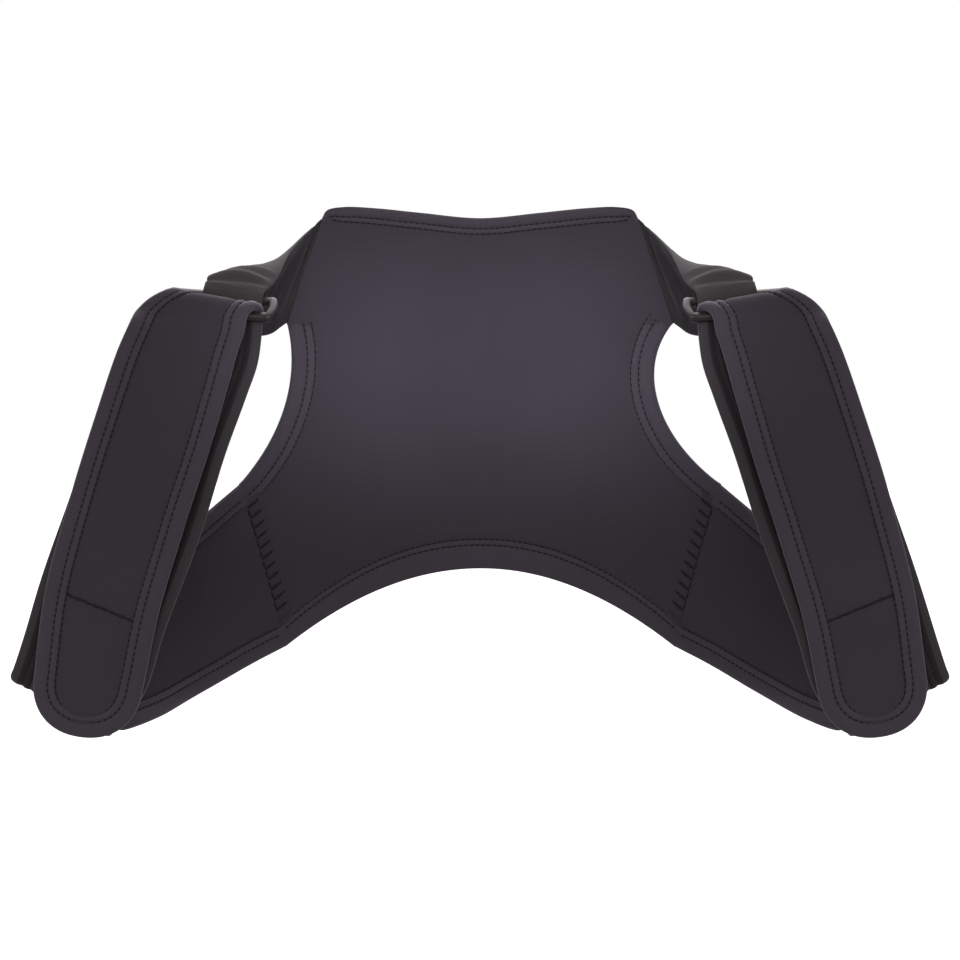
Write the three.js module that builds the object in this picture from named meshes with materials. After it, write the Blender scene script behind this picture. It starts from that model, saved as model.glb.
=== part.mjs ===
// Posture corrector: a neoprene back panel, two shoulder tabs with rings, and two straps.
// Millimetres. X runs across the wearer, +Y towards the wearer's back, +Z up.
// The origin is the middle of the line between the two shoulders that it hangs on.
import * as THREE from "three";

// Cloth and binding
const CLOTH = 3; // neoprene with a cloth face on each side
const BINDING_WALL = 0.8; // folded strip round an edge
const BINDING_WIDTH = 11; // from the edge to the strip's inner border
const BINDING_ROUND = 1.2; // how far back from the edge the strip reaches its full height
const BINDING_FOLD = 1.5; // thickness of the fold at the edge itself
const GAP = 0.35; // clearance between pieces that touch
const SEAM_GAP = 0.9; // between the middles of two sheets sewn edge to edge
const SLOT_HALF = CLOTH / 2 + GAP;
const BINDING_HALF = SLOT_HALF + BINDING_WALL;

// Back panel: a sheet that wraps the upper back
const PANEL_BACK = 84; // depth of the panel's deepest point
const PANEL_WRAP = 0.0015; // how fast the sides come forward, per square millimetre
const PANEL_BOW = 0.00025; // how fast the top and bottom come forward
const PANEL_MID = -60; // height of the deepest point
const SHOULDER_TOP = { x: 90, z: 32 }; // upper end of the line where a tab leaves
const SHOULDER_LOW = { x: 110, z: -27 }; // its lower end, the top of the armhole
const SEAM_TOP = { x: 136.6, z: -118.2 }; // wing seam at the armhole
const SEAM_LOW = { x: 111.5, z: -211.6 }; // wing seam at the lower edge
const ARMHOLE_PULL = {
  left: { low: { x: 111, z: -89 }, high: { x: 103, z: -56 } }, // handles of each armhole's curve
  right: { low: { x: 101, z: -92 }, high: { x: 89, z: -53 } },
};
const ARCH_TOP = -169; // middle of the arched lower edge
const ARCH_CURVE = (ARCH_TOP - SEAM_LOW.z) / SEAM_LOW.x ** 2;
const TOP_EDGE = [
  { x: 0, z: 33 },
  { x: 34, z: 36 },
  { x: 60, z: 38.5 },
  { x: 78, z: 39 },
  { x: 87, z: 37 },
  { x: SHOULDER_TOP.x, z: SHOULDER_TOP.z },
];
const TOP_BINDING_END = 80; // where the top binding stops short of the corner
const PANEL_INSET = 2; // how far the neoprene stops short of a bound edge
const ARMHOLE_INSET = 3.6; // the same, measured across the panel at the slanting armholes
const PANEL_COLUMNS = [0, 0.05, 0.12, 0.2, 0.28, 0.36, 0.43, 0.5];
const SEAM_ROWS = 5;
const ARMHOLE_ROWS = 8;
const SHOULDER_ROWS = 4;

// Rings: a rounded loop at each shoulder, its long way running outwards
const RING_CENTRE = new THREE.Vector3(138.5, -25, -16.5);
const RING_LONG = new THREE.Vector3(0.985, 0.08, 0.1).normalize();
const RING_DOWN = new THREE.Vector3(0, -0.8, -0.6);
const RING_OPENING = 52; // clear length between the ring's ends
const RING_BARS = 15.5; // between the middles of the two long bars
const RING_BAR = 4.6; // thickness of the moulded bar
const RING_BEVEL = 1.2;
const RING_CORNER = 7; // outer corner radius
const RING_INNER_CORNER = 3;
RING_DOWN.addScaledVector(RING_LONG, -RING_DOWN.dot(RING_LONG)).normalize();
const RING_FRONT = new THREE.Vector3().crossVectors(RING_DOWN, RING_LONG);
const STRAP_AT_RING = { arm: 25, body: -25 }; // how far along the ring the strap's edges pass
const TAB_AT_RING = { arm: 10.5, neck: -22 };

// Shoulder tabs: one row for each section, from the panel to the ring, bulge upwards
const TAB_ROWS = [
  { neck: [94.5, 70, 28], arm: [114.5, 62.5, -30], bulge: 0.5 },
  { neck: [98.5, 61, 23.5], arm: [118.5, 55, -33], bulge: 1.5 },
  { neck: [102.5, 47, 18], arm: [125, 43, -34], bulge: 3 },
  { neck: [105.5, 29, 12.5], arm: [132, 31, -32], bulge: 6 },
  { neck: [107, 12, 6.5], arm: [142, 16, -23.5], bulge: 9 },
  { neck: [108.5, 0, 1], arm: [144.5, 3, -11], bulge: 8 },
  { neck: [111, -10.5, -5], arm: [146, -9.5, -3.5], bulge: 5.5 },
];
const TAB_COLUMNS = 6;
const TAB_LOOP = RING_BAR / 2 + 1 + CLOTH / 2; // radius of the tab's middle round its bar
const TAB_RETURN = [
  { back: 1, apart: 6.5 },
  { back: 3, apart: CLOTH + 0.6 },
];

// Straps: one row for each section, arm is the edge along the armhole, body the other edge
const WING_ROWS = [
  { arm: [154, 43, -133], body: [128, 46, -219] },
  { arm: [174, 22, -150], body: [154, 22, -231.8] },
  { arm: [198, -8, -169], body: [173, -10, -240] },
  { arm: [221, -30, -188], body: [184.5, -34, -242.3] },
  { arm: [237, -38.5, -202], body: [189.5, -43.5, -242] },
];
const TURN_AXIS = { arm: [247, -43.5, -209.5], body: [193, -53, -239.5] }; // crease at the bottom
const TURN_RADIUS = 4.2;
const CLIMB_ROWS = [
  { arm: [242.5, -47, -194], body: [178, -57, -223] },
  { arm: [235, -43, -168], body: [166, -52, -187] },
  { arm: [219, -36, -120], body: [149, -46, -141] },
  { arm: [204, -31, -77], body: [135, -40, -96] },
  { arm: [193, -27, -47], body: [124, -36, -65] },
  { arm: [180, -25, -33], body: [118, -33, -47] },
];
const RING_TURN = RING_BAR / 2 + 0.7 + BINDING_HALF; // radius of the strap's middle round its bar
const RING_SPREAD = [ // over the ring the arm edge rises and flares, and the body edge is drawn in
  { rise: 0, flare: 0, drawn: 1.5 },
  { rise: 1.2, flare: 0, drawn: 1.5 },
  { rise: 3.2, flare: 1, drawn: 2 },
  { rise: 3.4, flare: 4, drawn: 3.5 },
  { rise: 0.6, flare: 12, drawn: 6 },
  { rise: -2.9, flare: 17.5, drawn: 8 },
];
const FRONT_ROWS = [
  { arm: [185.5, -38.8, -26.5], body: [124.5, -40.3, -30.5] },
  { arm: [190.5, -39.2, -37.5], body: [128, -43, -41.5] },
  { arm: [197, -40, -55], body: [133, -45.3, -60] },
  { arm: [209.5, -42, -93], body: [144, -48, -97] },
  { arm: [220.5, -45, -130], body: [156.5, -51.5, -136] },
  { arm: [230.5, -51, -172], body: [169, -58, -179] },
  { arm: [235, -56.5, -211], body: [177, -63.5, -218] },
];
const END_LENGTH = 29; // the rounded end beyond the last section
const END_POWER = 2.2; // roundness of the end, 2 is an ellipse
const TURN_STEPS = 5;
const END_STEPS = 10;
const PATCH = { thick: 1.8, rows: 4, from: 0.25, to: 0.75, beyond: 4 }; // hook patch under the end

const vector = ([out, back, up]) => new THREE.Vector3(out, back, up);
const mixed = (a, b, share) => new THREE.Vector3().lerpVectors(a, b, share);
const moved = (point, direction, distance) => point.clone().addScaledVector(direction, distance);

// A closed wall between two grids of points with the same rows and columns.
// The first few columns can have their squares split along the other diagonal.
function wall(face, back, crossed = 0) {
  const rows = face.length;
  const columns = face[0].length;
  const points = [...face.flat(), ...back.flat()];
  const other = rows * columns;
  const at = (i, j) => i * columns + j;
  const index = [];
  const quad = (a, b, c, d) => index.push(a, b, c, a, c, d);
  for (let i = 0; i + 1 < rows; i++) {
    for (let j = 0; j + 1 < columns; j++) {
      const corners = [at(i, j), at(i + 1, j), at(i + 1, j + 1), at(i, j + 1)];
      if (j < crossed) corners.push(corners.shift());
      const [a, b, c, d] = corners;
      quad(a, b, c, d);
      quad(a + other, d + other, c + other, b + other);
    }
    const last = columns - 1;
    quad(at(i, 0), at(i, 0) + other, at(i + 1, 0) + other, at(i + 1, 0));
    quad(at(i, last), at(i + 1, last), at(i + 1, last) + other, at(i, last) + other);
  }
  for (let j = 0; j + 1 < columns; j++) {
    const end = rows - 1;
    quad(at(0, j), at(0, j + 1), at(0, j + 1) + other, at(0, j) + other);
    quad(at(end, j), at(end, j) + other, at(end, j + 1) + other, at(end, j + 1));
  }
  let volume = 0;
  for (let k = 0; k < index.length; k += 3) {
    const [p, q, r] = [points[index[k]], points[index[k + 1]], points[index[k + 2]]];
    volume += p.dot(q.clone().cross(r));
  }
  if (volume < 0) index.reverse();
  const geometry = new THREE.BufferGeometry().setFromPoints(points);
  geometry.setIndex(index);
  geometry.computeVertexNormals();
  return geometry;
}

// Unit normals of a grid, from the points on either side of each point.
function gridNormals(grid) {
  const rows = grid.length;
  const columns = grid[0].length;
  return grid.map((row, i) =>
    row.map((_, j) => {
      const along = grid[Math.min(i + 1, rows - 1)][j].clone().sub(grid[Math.max(i - 1, 0)][j]);
      const across = row[Math.min(j + 1, columns - 1)].clone().sub(row[Math.max(j - 1, 0)]);
      return along.cross(across).normalize();
    }),
  );
}

// A sheet of even thickness about a grid of its middle points.
function sheet(grid, normals, thickness) {
  const offset = (distance) => grid.map((row, i) => row.map((p, j) => moved(p, normals[i][j], distance)));
  return wall(offset(thickness / 2), offset(-thickness / 2));
}

// A strip folded round an edge: each station has the edge's tip, the strip's root and their normals.
function binding(stations) {
  const outer = [];
  const inner = [];
  for (const { tip, root, tipNormal, rootNormal } of stations) {
    const inward = root.clone().sub(tip).normalize();
    const shoulder = moved(tip, inward, BINDING_ROUND);
    const slot = moved(tip, inward, BINDING_FOLD);
    outer.push([
      moved(root, rootNormal, BINDING_HALF),
      moved(shoulder, tipNormal, BINDING_HALF),
      tip,
      moved(shoulder, tipNormal, -BINDING_HALF),
      moved(root, rootNormal, -BINDING_HALF),
    ]);
    inner.push([
      moved(root, rootNormal, SLOT_HALF),
      moved(slot, tipNormal, SLOT_HALF),
      slot,
      moved(slot, tipNormal, -SLOT_HALF),
      moved(root, rootNormal, -SLOT_HALF),
    ]);
  }
  return wall(outer, inner, 2);
}

// The panel's curved surface over its outline in X and Z
function panelPoint(x, z) {
  const depth = PANEL_BACK - PANEL_WRAP * x * x - PANEL_BOW * (z - PANEL_MID) ** 2;
  return new THREE.Vector3(x, depth, z);
}

function panelNormal(x, z) {
  return new THREE.Vector3(2 * PANEL_WRAP * x, 1, 2 * PANEL_BOW * (z - PANEL_MID)).normalize();
}

const flat = ({ x, z }) => new THREE.Vector2(x, z);
const armholeCurve = ({ low, high }) =>
  new THREE.CubicBezierCurve(flat(SEAM_TOP), flat(low), flat(high), flat(SHOULDER_LOW));
const topCurve = new THREE.SplineCurve([
  ...TOP_EDGE.slice(1).reverse().map(({ x, z }) => new THREE.Vector2(-x, z)),
  ...TOP_EDGE.map(flat),
]);
const archPoint = (x) => new THREE.Vector2(x, ARCH_TOP - ARCH_CURVE * x * x);

// One side of the panel from the lower edge up: wing seam, armhole, shoulder line
function panelSide(pull) {
  const seam = new THREE.LineCurve(flat(SEAM_LOW), flat(SEAM_TOP)).getPoints(SEAM_ROWS);
  const armhole = armholeCurve(pull).getPoints(ARMHOLE_ROWS);
  const shoulder = new THREE.LineCurve(flat(SHOULDER_LOW), flat(SHOULDER_TOP)).getPoints(SHOULDER_ROWS);
  return [
    ...seam.slice(0, -1).map((p) => ({ p, inset: 0 })),
    ...armhole.map((p) => ({ p, inset: ARMHOLE_INSET })),
    ...shoulder.slice(1).map((p) => ({ p, inset: 0 })),
  ];
}

// The panel's middle points: a patch stretched between its four edges.
function panelGrid() {
  const [left, right] = [panelSide(ARMHOLE_PULL.left), panelSide(ARMHOLE_PULL.right)];
  const shares = [...PANEL_COLUMNS, ...PANEL_COLUMNS.slice(0, -1).reverse().map((share) => 1 - share)];
  const last = right.length - 1;
  const [low, high] = [right[0].p, right[last].p];
  return right.map(({ p, inset }, i) =>
    shares.map((share, j) => {
      const t = i / last;
      const spread = 2 * share - 1;
      const bottom = archPoint(spread * low.x);
      const top = topCurve.getPoint(share);
      const across = share * p.x - (1 - share) * left[i].p.x;
      const x = across + (1 - t) * (bottom.x - spread * low.x) + t * (top.x - spread * high.x);
      const z = p.y + (1 - t) * (bottom.y - low.y) + t * (top.y - high.y);
      const edgeShift = j === 0 ? inset : j === shares.length - 1 ? -inset : 0;
      const rowShift = i === 0 ? PANEL_INSET : i === last ? -PANEL_INSET : 0;
      return panelPoint(x + edgeShift, z + rowShift);
    }),
  );
}

function backPanel() {
  const grid = panelGrid();
  const normals = grid.map((row) => row.map((p) => panelNormal(p.x, p.z)));
  return sheet(grid, normals, CLOTH);
}

// A binding station on the panel, from an edge point and the direction into the panel.
function panelStation(edge, inward) {
  const root = edge.clone().addScaledVector(inward, BINDING_WIDTH);
  return {
    tip: panelPoint(edge.x, edge.y),
    root: panelPoint(root.x, root.y),
    tipNormal: panelNormal(edge.x, edge.y),
    rootNormal: panelNormal(root.x, root.y),
  };
}

const seamDown = flat(SEAM_LOW).sub(flat(SEAM_TOP)).normalize();

function topBinding() {
  const stations = [];
  const steps = 12;
  for (let k = 0; k <= steps; k++) {
    const x = TOP_BINDING_END * (2 * (k / steps) - 1);
    const share = nearestShare(topCurve, x);
    const tangent = topCurve.getTangent(share);
    stations.push(panelStation(topCurve.getPoint(share), new THREE.Vector2(tangent.y, -tangent.x)));
  }
  return binding(stations);
}

// The share of a left-to-right curve at which it reaches x, found by halving the range.
function nearestShare(curve, x) {
  let [low, high] = [0, 1];
  const halvings = 40;
  for (let k = 0; k < halvings; k++) {
    const middle = (low + high) / 2;
    if (curve.getPoint(middle).x < x) low = middle;
    else high = middle;
  }
  return low;
}

function bottomBinding() {
  const stations = [];
  const steps = 18;
  for (let k = 0; k <= steps; k++) {
    const share = 2 * (k / steps) - 1;
    const x = share * SEAM_LOW.x;
    const inward = new THREE.Vector2(2 * ARCH_CURVE * x, 1).normalize();
    const seamUp = new THREE.Vector2(-seamDown.x * Math.sign(share), -seamDown.y);
    stations.push(panelStation(archPoint(x), inward.lerp(seamUp, share ** 8).normalize()));
  }
  return binding(stations);
}

function armholeBinding(pull) {
  const curve = armholeCurve(pull);
  const stations = [];
  const steps = 12;
  for (let k = 0; k <= steps; k++) {
    const share = k / steps;
    const edge = curve.getPoint(share);
    const tangent = curve.getTangent(share);
    const inward = new THREE.Vector2(-tangent.y, tangent.x).lerp(seamDown, (1 - share) ** 8).normalize();
    stations.push(panelStation(edge, inward));
  }
  return binding(stations);
}

// Two rails through a table of sections, sampled with some steps between neighbouring rows.
function rails(rows, steps) {
  const names = Object.keys(rows[0]);
  const curves = names.map((name) => new THREE.CatmullRomCurve3(rows.map((row) => row[name])));
  const count = (rows.length - 1) * steps;
  const sampled = [];
  for (let k = 0; k <= count; k++) {
    sampled.push(Object.fromEntries(names.map((name, n) => [name, curves[n].getPoint(k / count)])));
  }
  return sampled;
}

// Rows of a strap carried half a turn round an axis, from one side of it to the other.
function turn(axis, radius, first, outermost) {
  const rows = [];
  for (let k = 0; k <= TURN_STEPS; k++) {
    const angle = (Math.PI * k) / TURN_STEPS;
    const offset = first.clone().multiplyScalar(Math.cos(angle)).addScaledVector(outermost, Math.sin(angle));
    rows.push({ arm: moved(axis.arm, offset, radius), body: moved(axis.body, offset, radius) });
  }
  return rows;
}

// A point of the ring's frame: along its length, from bar to bar and out of its plane.
function ringPoint(along, down, front) {
  return moved(moved(moved(RING_CENTRE, RING_LONG, along), RING_DOWN, down), RING_FRONT, front);
}

// All sections of one strap: wing, turn at the bottom, climb, turn at the ring, front.
function strapRows() {
  const seamOut = new THREE.Vector2(-seamDown.y, seamDown.x);
  const seamEnd = (p) => {
    const shifted = flat(p).addScaledVector(seamOut, SEAM_GAP);
    return panelPoint(shifted.x, shifted.y);
  };
  const placed = (rows) => rows.map(({ arm, body }) => ({ arm: vector(arm), body: vector(body) }));
  const axis = placed([TURN_AXIS])[0];
  const crease = axis.arm.clone().sub(axis.body).normalize();
  const toBack = new THREE.Vector3(0, 1, 0).addScaledVector(crease, -crease.y).normalize();
  const toBottom = new THREE.Vector3().crossVectors(toBack, crease);
  const bottomTurn = turn(axis, TURN_RADIUS, toBack, toBottom);

  const bar = {
    arm: ringPoint(STRAP_AT_RING.arm, RING_BARS / 2, 0),
    body: ringPoint(STRAP_AT_RING.body, RING_BARS / 2, 0),
  };
  const barBack = new THREE.Vector3(0, 1, 0).addScaledVector(RING_LONG, -RING_LONG.y).normalize();
  const barUp = new THREE.Vector3().crossVectors(RING_LONG, barBack);
  const ringTurn = turn(bar, RING_TURN, barBack, barUp);
  RING_SPREAD.forEach(({ rise, flare, drawn }, k) => {
    ringTurn[k].arm.addScaledVector(barUp, rise).addScaledVector(RING_LONG, flare);
    ringTurn[k].body.addScaledVector(RING_LONG, drawn);
  });

  const seam = { arm: seamEnd(SEAM_TOP), body: seamEnd(SEAM_LOW) };
  const wing = rails([seam, ...placed(WING_ROWS), bottomTurn[0]], 2);
  const climb = rails([bottomTurn[TURN_STEPS], ...placed(CLIMB_ROWS), ringTurn[0]], 1);
  const front = rails([ringTurn[TURN_STEPS], ...placed(FRONT_ROWS)], 2);
  return [...wing.slice(0, -1), ...bottomTurn, ...climb.slice(1, -1), ...ringTurn, ...front.slice(1)];
}

// The plane of a strap's rounded end: its middle, the way across and the way along.
function strapEnd(rows) {
  const last = rows[rows.length - 1];
  const before = rows[rows.length - 2];
  const centre = mixed(last.arm, last.body, 0.5);
  const across = last.body.clone().sub(last.arm);
  const half = across.length() / 2;
  across.normalize();
  const along = centre.clone().sub(mixed(before.arm, before.body, 0.5));
  along.addScaledVector(across, -along.dot(across)).normalize();
  const normal = new THREE.Vector3().crossVectors(along, across);
  const point = (a, l) => moved(moved(centre, across, a), along, l);
  return { half, across, along, normal, point };
}

// A strap's grid: tips of both edges, binding borders, and columns between them.
const STRAP_COLUMNS = [0.34, 0.5, 0.66];
const CORE_INSET = BINDING_FOLD + GAP;

function strapGrid(rows) {
  return rows.map(({ arm, body }) => {
    const width = arm.distanceTo(body);
    const edges = [0, CORE_INSET / width, BINDING_WIDTH / width];
    const shares = [...edges, ...STRAP_COLUMNS, ...edges.reverse().map((share) => 1 - share)];
    return shares.map((share) => mixed(arm, body, share));
  });
}

function strapCore(rows) {
  const grid = strapGrid(rows);
  const normals = gridNormals(grid);
  const core = grid.map((row) => row.slice(1, -1));
  const coreNormals = normals.map((row) => row.slice(1, -1));
  const end = strapEnd(rows);
  const half = end.half - CORE_INSET;
  const last = core[core.length - 1];
  for (const share of [0.5, 1]) {
    const row = last.map((p) => {
      const a = p.clone().sub(end.point(0, 0)).dot(end.across);
      const reach = Math.max(0, 1 - Math.abs(a / half) ** END_POWER) ** (1 / END_POWER);
      return end.point(a, share * Math.max(1, reach * (END_LENGTH - CORE_INSET)));
    });
    core.push(row);
    coreNormals.push(row.map(() => end.normal));
  }
  return sheet(core, coreNormals, CLOTH);
}

function strapBinding(rows) {
  const grid = strapGrid(rows);
  const normals = gridNormals(grid);
  const columns = grid[0].length - 1;
  const edge = (tip, root) =>
    grid.map((row, i) => ({
      tip: row[tip],
      root: row[root],
      tipNormal: normals[i][tip],
      rootNormal: normals[i][root],
    }));
  const end = strapEnd(rows);
  const round = [];
  for (let k = 1; k < END_STEPS; k++) {
    const angle = (Math.PI * k) / END_STEPS;
    const [c, s] = [Math.cos(angle), Math.sin(angle)];
    const a = -end.half * Math.sign(c) * Math.abs(c) ** (2 / END_POWER);
    const l = END_LENGTH * s ** (2 / END_POWER);
    const slope = (value, size) => (Math.sign(value) * Math.abs(value / size) ** (END_POWER - 1)) / size;
    const inward = new THREE.Vector2(-slope(a, end.half), -slope(l, END_LENGTH)).normalize();
    round.push({
      tip: end.point(a, l),
      root: end.point(a + inward.x * BINDING_WIDTH, l + inward.y * BINDING_WIDTH),
      tipNormal: end.normal,
      rootNormal: end.normal,
    });
  }
  return binding([...edge(0, 2), ...round, ...edge(columns, columns - 2).reverse()]);
}

// The hook patch lies under the strap's end, towards the climbing layer.
function hookPatch(rows) {
  const end = strapEnd(rows);
  const chosen = rows.slice(-PATCH.rows).map(({ arm, body }) => [
    mixed(arm, body, PATCH.from),
    mixed(arm, body, 0.5),
    mixed(arm, body, PATCH.to),
  ]);
  const reach = end.half * (PATCH.to - PATCH.from);
  chosen.push([-reach, 0, reach].map((a) => end.point(a, PATCH.beyond)));
  const normals = gridNormals(chosen);
  const sink = CLOTH / 2 + GAP + PATCH.thick / 2;
  const towardsBack = Math.sign(end.normal.y);
  const grid = chosen.map((row, i) => row.map((p, j) => moved(p, normals[i][j], sink * towardsBack)));
  return sheet(grid, normals, PATCH.thick);
}

// A tab: leaves the shoulder line, rolls over the shoulder, loops round the ring's upper bar.
function shoulderTab() {
  const lineOut = flat(SHOULDER_LOW).sub(flat(SHOULDER_TOP)).normalize();
  const start = (p) => {
    const shifted = flat(p).addScaledVector(new THREE.Vector2(-lineOut.y, lineOut.x), SEAM_GAP);
    return panelPoint(shifted.x, shifted.y);
  };
  const bar = (share, angle) =>
    ringPoint(
      THREE.MathUtils.lerp(TAB_AT_RING.neck, TAB_AT_RING.arm, share),
      TAB_LOOP * Math.cos(angle) - RING_BARS / 2,
      TAB_LOOP * Math.sin(angle),
    );
  const rows = [
    { neck: start(SHOULDER_TOP), arm: start(SHOULDER_LOW), bulge: 0 },
    ...TAB_ROWS.map(({ neck, arm, bulge }) => ({ neck: vector(neck), arm: vector(arm), bulge })),
    { neck: bar(0, Math.PI / 2), arm: bar(1, Math.PI / 2), bulge: 0 },
  ];
  const steps = 2;
  const paired = rails(rows.map(({ neck, arm }) => ({ neck, arm })), steps);
  const shares = Array.from({ length: TAB_COLUMNS + 1 }, (_, j) => j / TAB_COLUMNS);
  const straight = paired.map(({ neck, arm }) => shares.map((share) => mixed(neck, arm, share)));
  const lean = gridNormals(straight);
  const over = straight.map((row, i) => {
    const place = i / steps;
    const [low, high] = [Math.floor(place), Math.ceil(place)];
    const bulge = THREE.MathUtils.lerp(rows[low].bulge, rows[high].bulge, place - low);
    return row.map((p, j) => moved(p, lean[i][j], bulge * 4 * shares[j] * (1 - shares[j])));
  });
  const normals = gridNormals(over);
  const loop = [];
  for (let k = 1; k <= TURN_STEPS; k++) {
    loop.push(shares.map((share) => bar(share, Math.PI * (0.5 - k / TURN_STEPS))));
  }
  const last = over.length - 1;
  const under = TAB_RETURN.map(({ back, apart }) =>
    over[last - back].map((p, j) => moved(p, normals[last - back][j], -apart)),
  );
  const grid = [...over, ...loop, ...under];
  return sheet(grid, gridNormals(grid), CLOTH);
}

// A ring: a rounded loop cut from one thickness, its edges broken all round.
function ring() {
  const outline = (shape, length, height, radius) => {
    const [x, y, r] = [length / 2, height / 2, radius];
    shape.moveTo(-x + r, -y);
    shape.lineTo(x - r, -y);
    shape.absarc(x - r, -y + r, r, -Math.PI / 2, 0);
    shape.absarc(x - r, y - r, r, 0, Math.PI / 2);
    shape.absarc(-x + r, y - r, r, Math.PI / 2, Math.PI);
    shape.absarc(-x + r, -y + r, r, Math.PI, 1.5 * Math.PI);
    return shape;
  };
  const shape = outline(new THREE.Shape(), RING_OPENING + 2 * RING_BAR, RING_BARS + RING_BAR, RING_CORNER);
  shape.holes.push(outline(new THREE.Path(), RING_OPENING, RING_BARS - RING_BAR, RING_INNER_CORNER));
  const geometry = new THREE.ExtrudeGeometry(shape, {
    depth: RING_BAR - 2 * RING_BEVEL,
    bevelThickness: RING_BEVEL,
    bevelSize: RING_BEVEL,
    bevelOffset: -RING_BEVEL,
    bevelSegments: 1,
    curveSegments: 3,
  });
  geometry.translate(0, 0, RING_BEVEL - RING_BAR / 2);
  const facing = RING_FRONT.clone().negate();
  geometry.applyMatrix4(new THREE.Matrix4().makeBasis(RING_LONG, RING_DOWN, facing).setPosition(RING_CENTRE));
  return geometry;
}

// Finishes
const finish = (color, roughness) => new THREE.MeshStandardMaterial({ color, roughness, metalness: 0 });
const neoprene = () => finish(0x33303a, 0.9);
const bindingCloth = () => finish(0x2f2c34, 0.85);
const ringPlastic = () => finish(0x77737a, 0.45);
const hookTape = () => finish(0x1c1a1d, 0.95);

const group = new THREE.Group();
group.name = "posture_corrector";

function add(name, geometry, material) {
  const mesh = new THREE.Mesh(geometry, material);
  mesh.name = name;
  group.add(mesh);
}

add("back_panel", backPanel(), neoprene());
add("binding_top", topBinding(), bindingCloth());
add("binding_bottom", bottomBinding(), bindingCloth());

// The left-hand copy of a right-hand piece, its faces turned round so that they still point out.
function mirrored(geometry) {
  const copy = geometry.clone().scale(-1, 1, 1);
  const order = copy.index ? [...copy.index.array] : [...Array(copy.attributes.position.count).keys()];
  return copy.setIndex(order.reverse());
}

add("binding_armhole_right", armholeBinding(ARMHOLE_PULL.right), bindingCloth());
add("binding_armhole_left", mirrored(armholeBinding(ARMHOLE_PULL.left)), bindingCloth());
const strap = strapRows();
const paired = [
  ["shoulder_tab", shoulderTab(), neoprene],
  ["ring", ring(), ringPlastic],
  ["strap", strapCore(strap), neoprene],
  ["strap_binding", strapBinding(strap), bindingCloth],
  ["hook_patch", hookPatch(strap), hookTape],
];
for (const [name, geometry, material] of paired) {
  add(name + "_right", geometry, material());
  add(name + "_left", mirrored(geometry), material());
}

export default group;
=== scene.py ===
# %% [markdown]
# # A posture corrector
#
# This brace is a sheet of black neoprene that lies on the upper back. Two tabs go over the shoulders to
# moulded rings, and two long straps leave the panel's lower corners, fold at the bottom, climb to the rings,
# pass through them and come down again in front. Every free edge is bound with a folded strip and stitched.
# The solids of the brace are the frame that everything here is fitted to, so they are loaded first.

# %% Load the frame
import bpy
import numpy as np
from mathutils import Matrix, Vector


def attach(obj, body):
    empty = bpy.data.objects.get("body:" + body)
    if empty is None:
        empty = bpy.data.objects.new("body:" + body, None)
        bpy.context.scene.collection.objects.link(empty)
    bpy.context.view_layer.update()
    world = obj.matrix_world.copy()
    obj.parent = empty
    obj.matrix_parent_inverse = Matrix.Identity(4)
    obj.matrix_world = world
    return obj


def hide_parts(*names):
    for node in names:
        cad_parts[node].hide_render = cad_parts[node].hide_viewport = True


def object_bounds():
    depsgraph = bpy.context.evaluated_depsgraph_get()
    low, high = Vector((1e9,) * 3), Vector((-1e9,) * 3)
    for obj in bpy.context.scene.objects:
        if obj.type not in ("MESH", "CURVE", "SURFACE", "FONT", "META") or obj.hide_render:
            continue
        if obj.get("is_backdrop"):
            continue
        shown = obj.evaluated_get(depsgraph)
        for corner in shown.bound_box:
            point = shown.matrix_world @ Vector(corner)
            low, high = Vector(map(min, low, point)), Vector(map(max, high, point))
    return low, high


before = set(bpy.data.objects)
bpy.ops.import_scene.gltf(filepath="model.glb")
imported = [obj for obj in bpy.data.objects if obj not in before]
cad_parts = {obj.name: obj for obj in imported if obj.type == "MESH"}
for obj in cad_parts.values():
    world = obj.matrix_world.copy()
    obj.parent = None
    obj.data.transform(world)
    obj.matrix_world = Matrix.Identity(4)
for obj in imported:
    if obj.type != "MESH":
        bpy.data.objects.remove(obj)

cad_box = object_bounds()
MM = 0.001  # the tables below are in millimetres, Blender works in metres
SIDES = {"right": 1, "left": -1}  # each side's name and its sign in X
print("frame nodes:", len(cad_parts))

# %% [markdown]
# ## Camera
#
# The brace is seen from the front, a little from above, through a long lens, which keeps the two straps from
# looking much larger than the panel behind them. A camera has to be aimed: here it only tips down by its
# elevation, so one turn about X does it.

# %% Camera
CAMERA = {"elevation": np.radians(4), "distance": 1.4, "aim_height": -0.112, "lens": 96.1, "sensor": 36}


def make_camera():
    """The camera stands in front of a point inside the brace, raised by its elevation, and looks at it."""
    data = bpy.data.cameras.new("camera")
    data.sensor_width = CAMERA["sensor"]
    data.lens = CAMERA["lens"]
    camera = bpy.data.objects.new("camera", data)
    tip, away = CAMERA["elevation"], CAMERA["distance"]
    camera.location = (0, -away * np.cos(tip), CAMERA["aim_height"] + away * np.sin(tip))
    camera.rotation_euler = (np.pi / 2 - tip, 0, 0)
    bpy.context.collection.objects.link(camera)
    bpy.context.scene.camera = camera
    return camera


camera = make_camera()
print("camera at", [round(v, 3) for v in camera.location])

# %% [markdown]
# ## Curves, normals and meshes
#
# Cloth is described by a few sections, and a smooth curve is laid through them. A centripetal Catmull-Rom
# curve is used because it goes through every section and doesn't overshoot where sections lie close together,
# as they do in a tight fold. It works on whole rows of points at once.

# %% Blends, curves and directions
def unit(v):
    """Each vector over its own length."""
    return v / np.linalg.norm(v, axis=-1, keepdims=True)


def blend(a, b, share):
    """A straight blend: a where the share is 0, b where it is 1."""
    return a * (1 - share) + b * share


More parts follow.
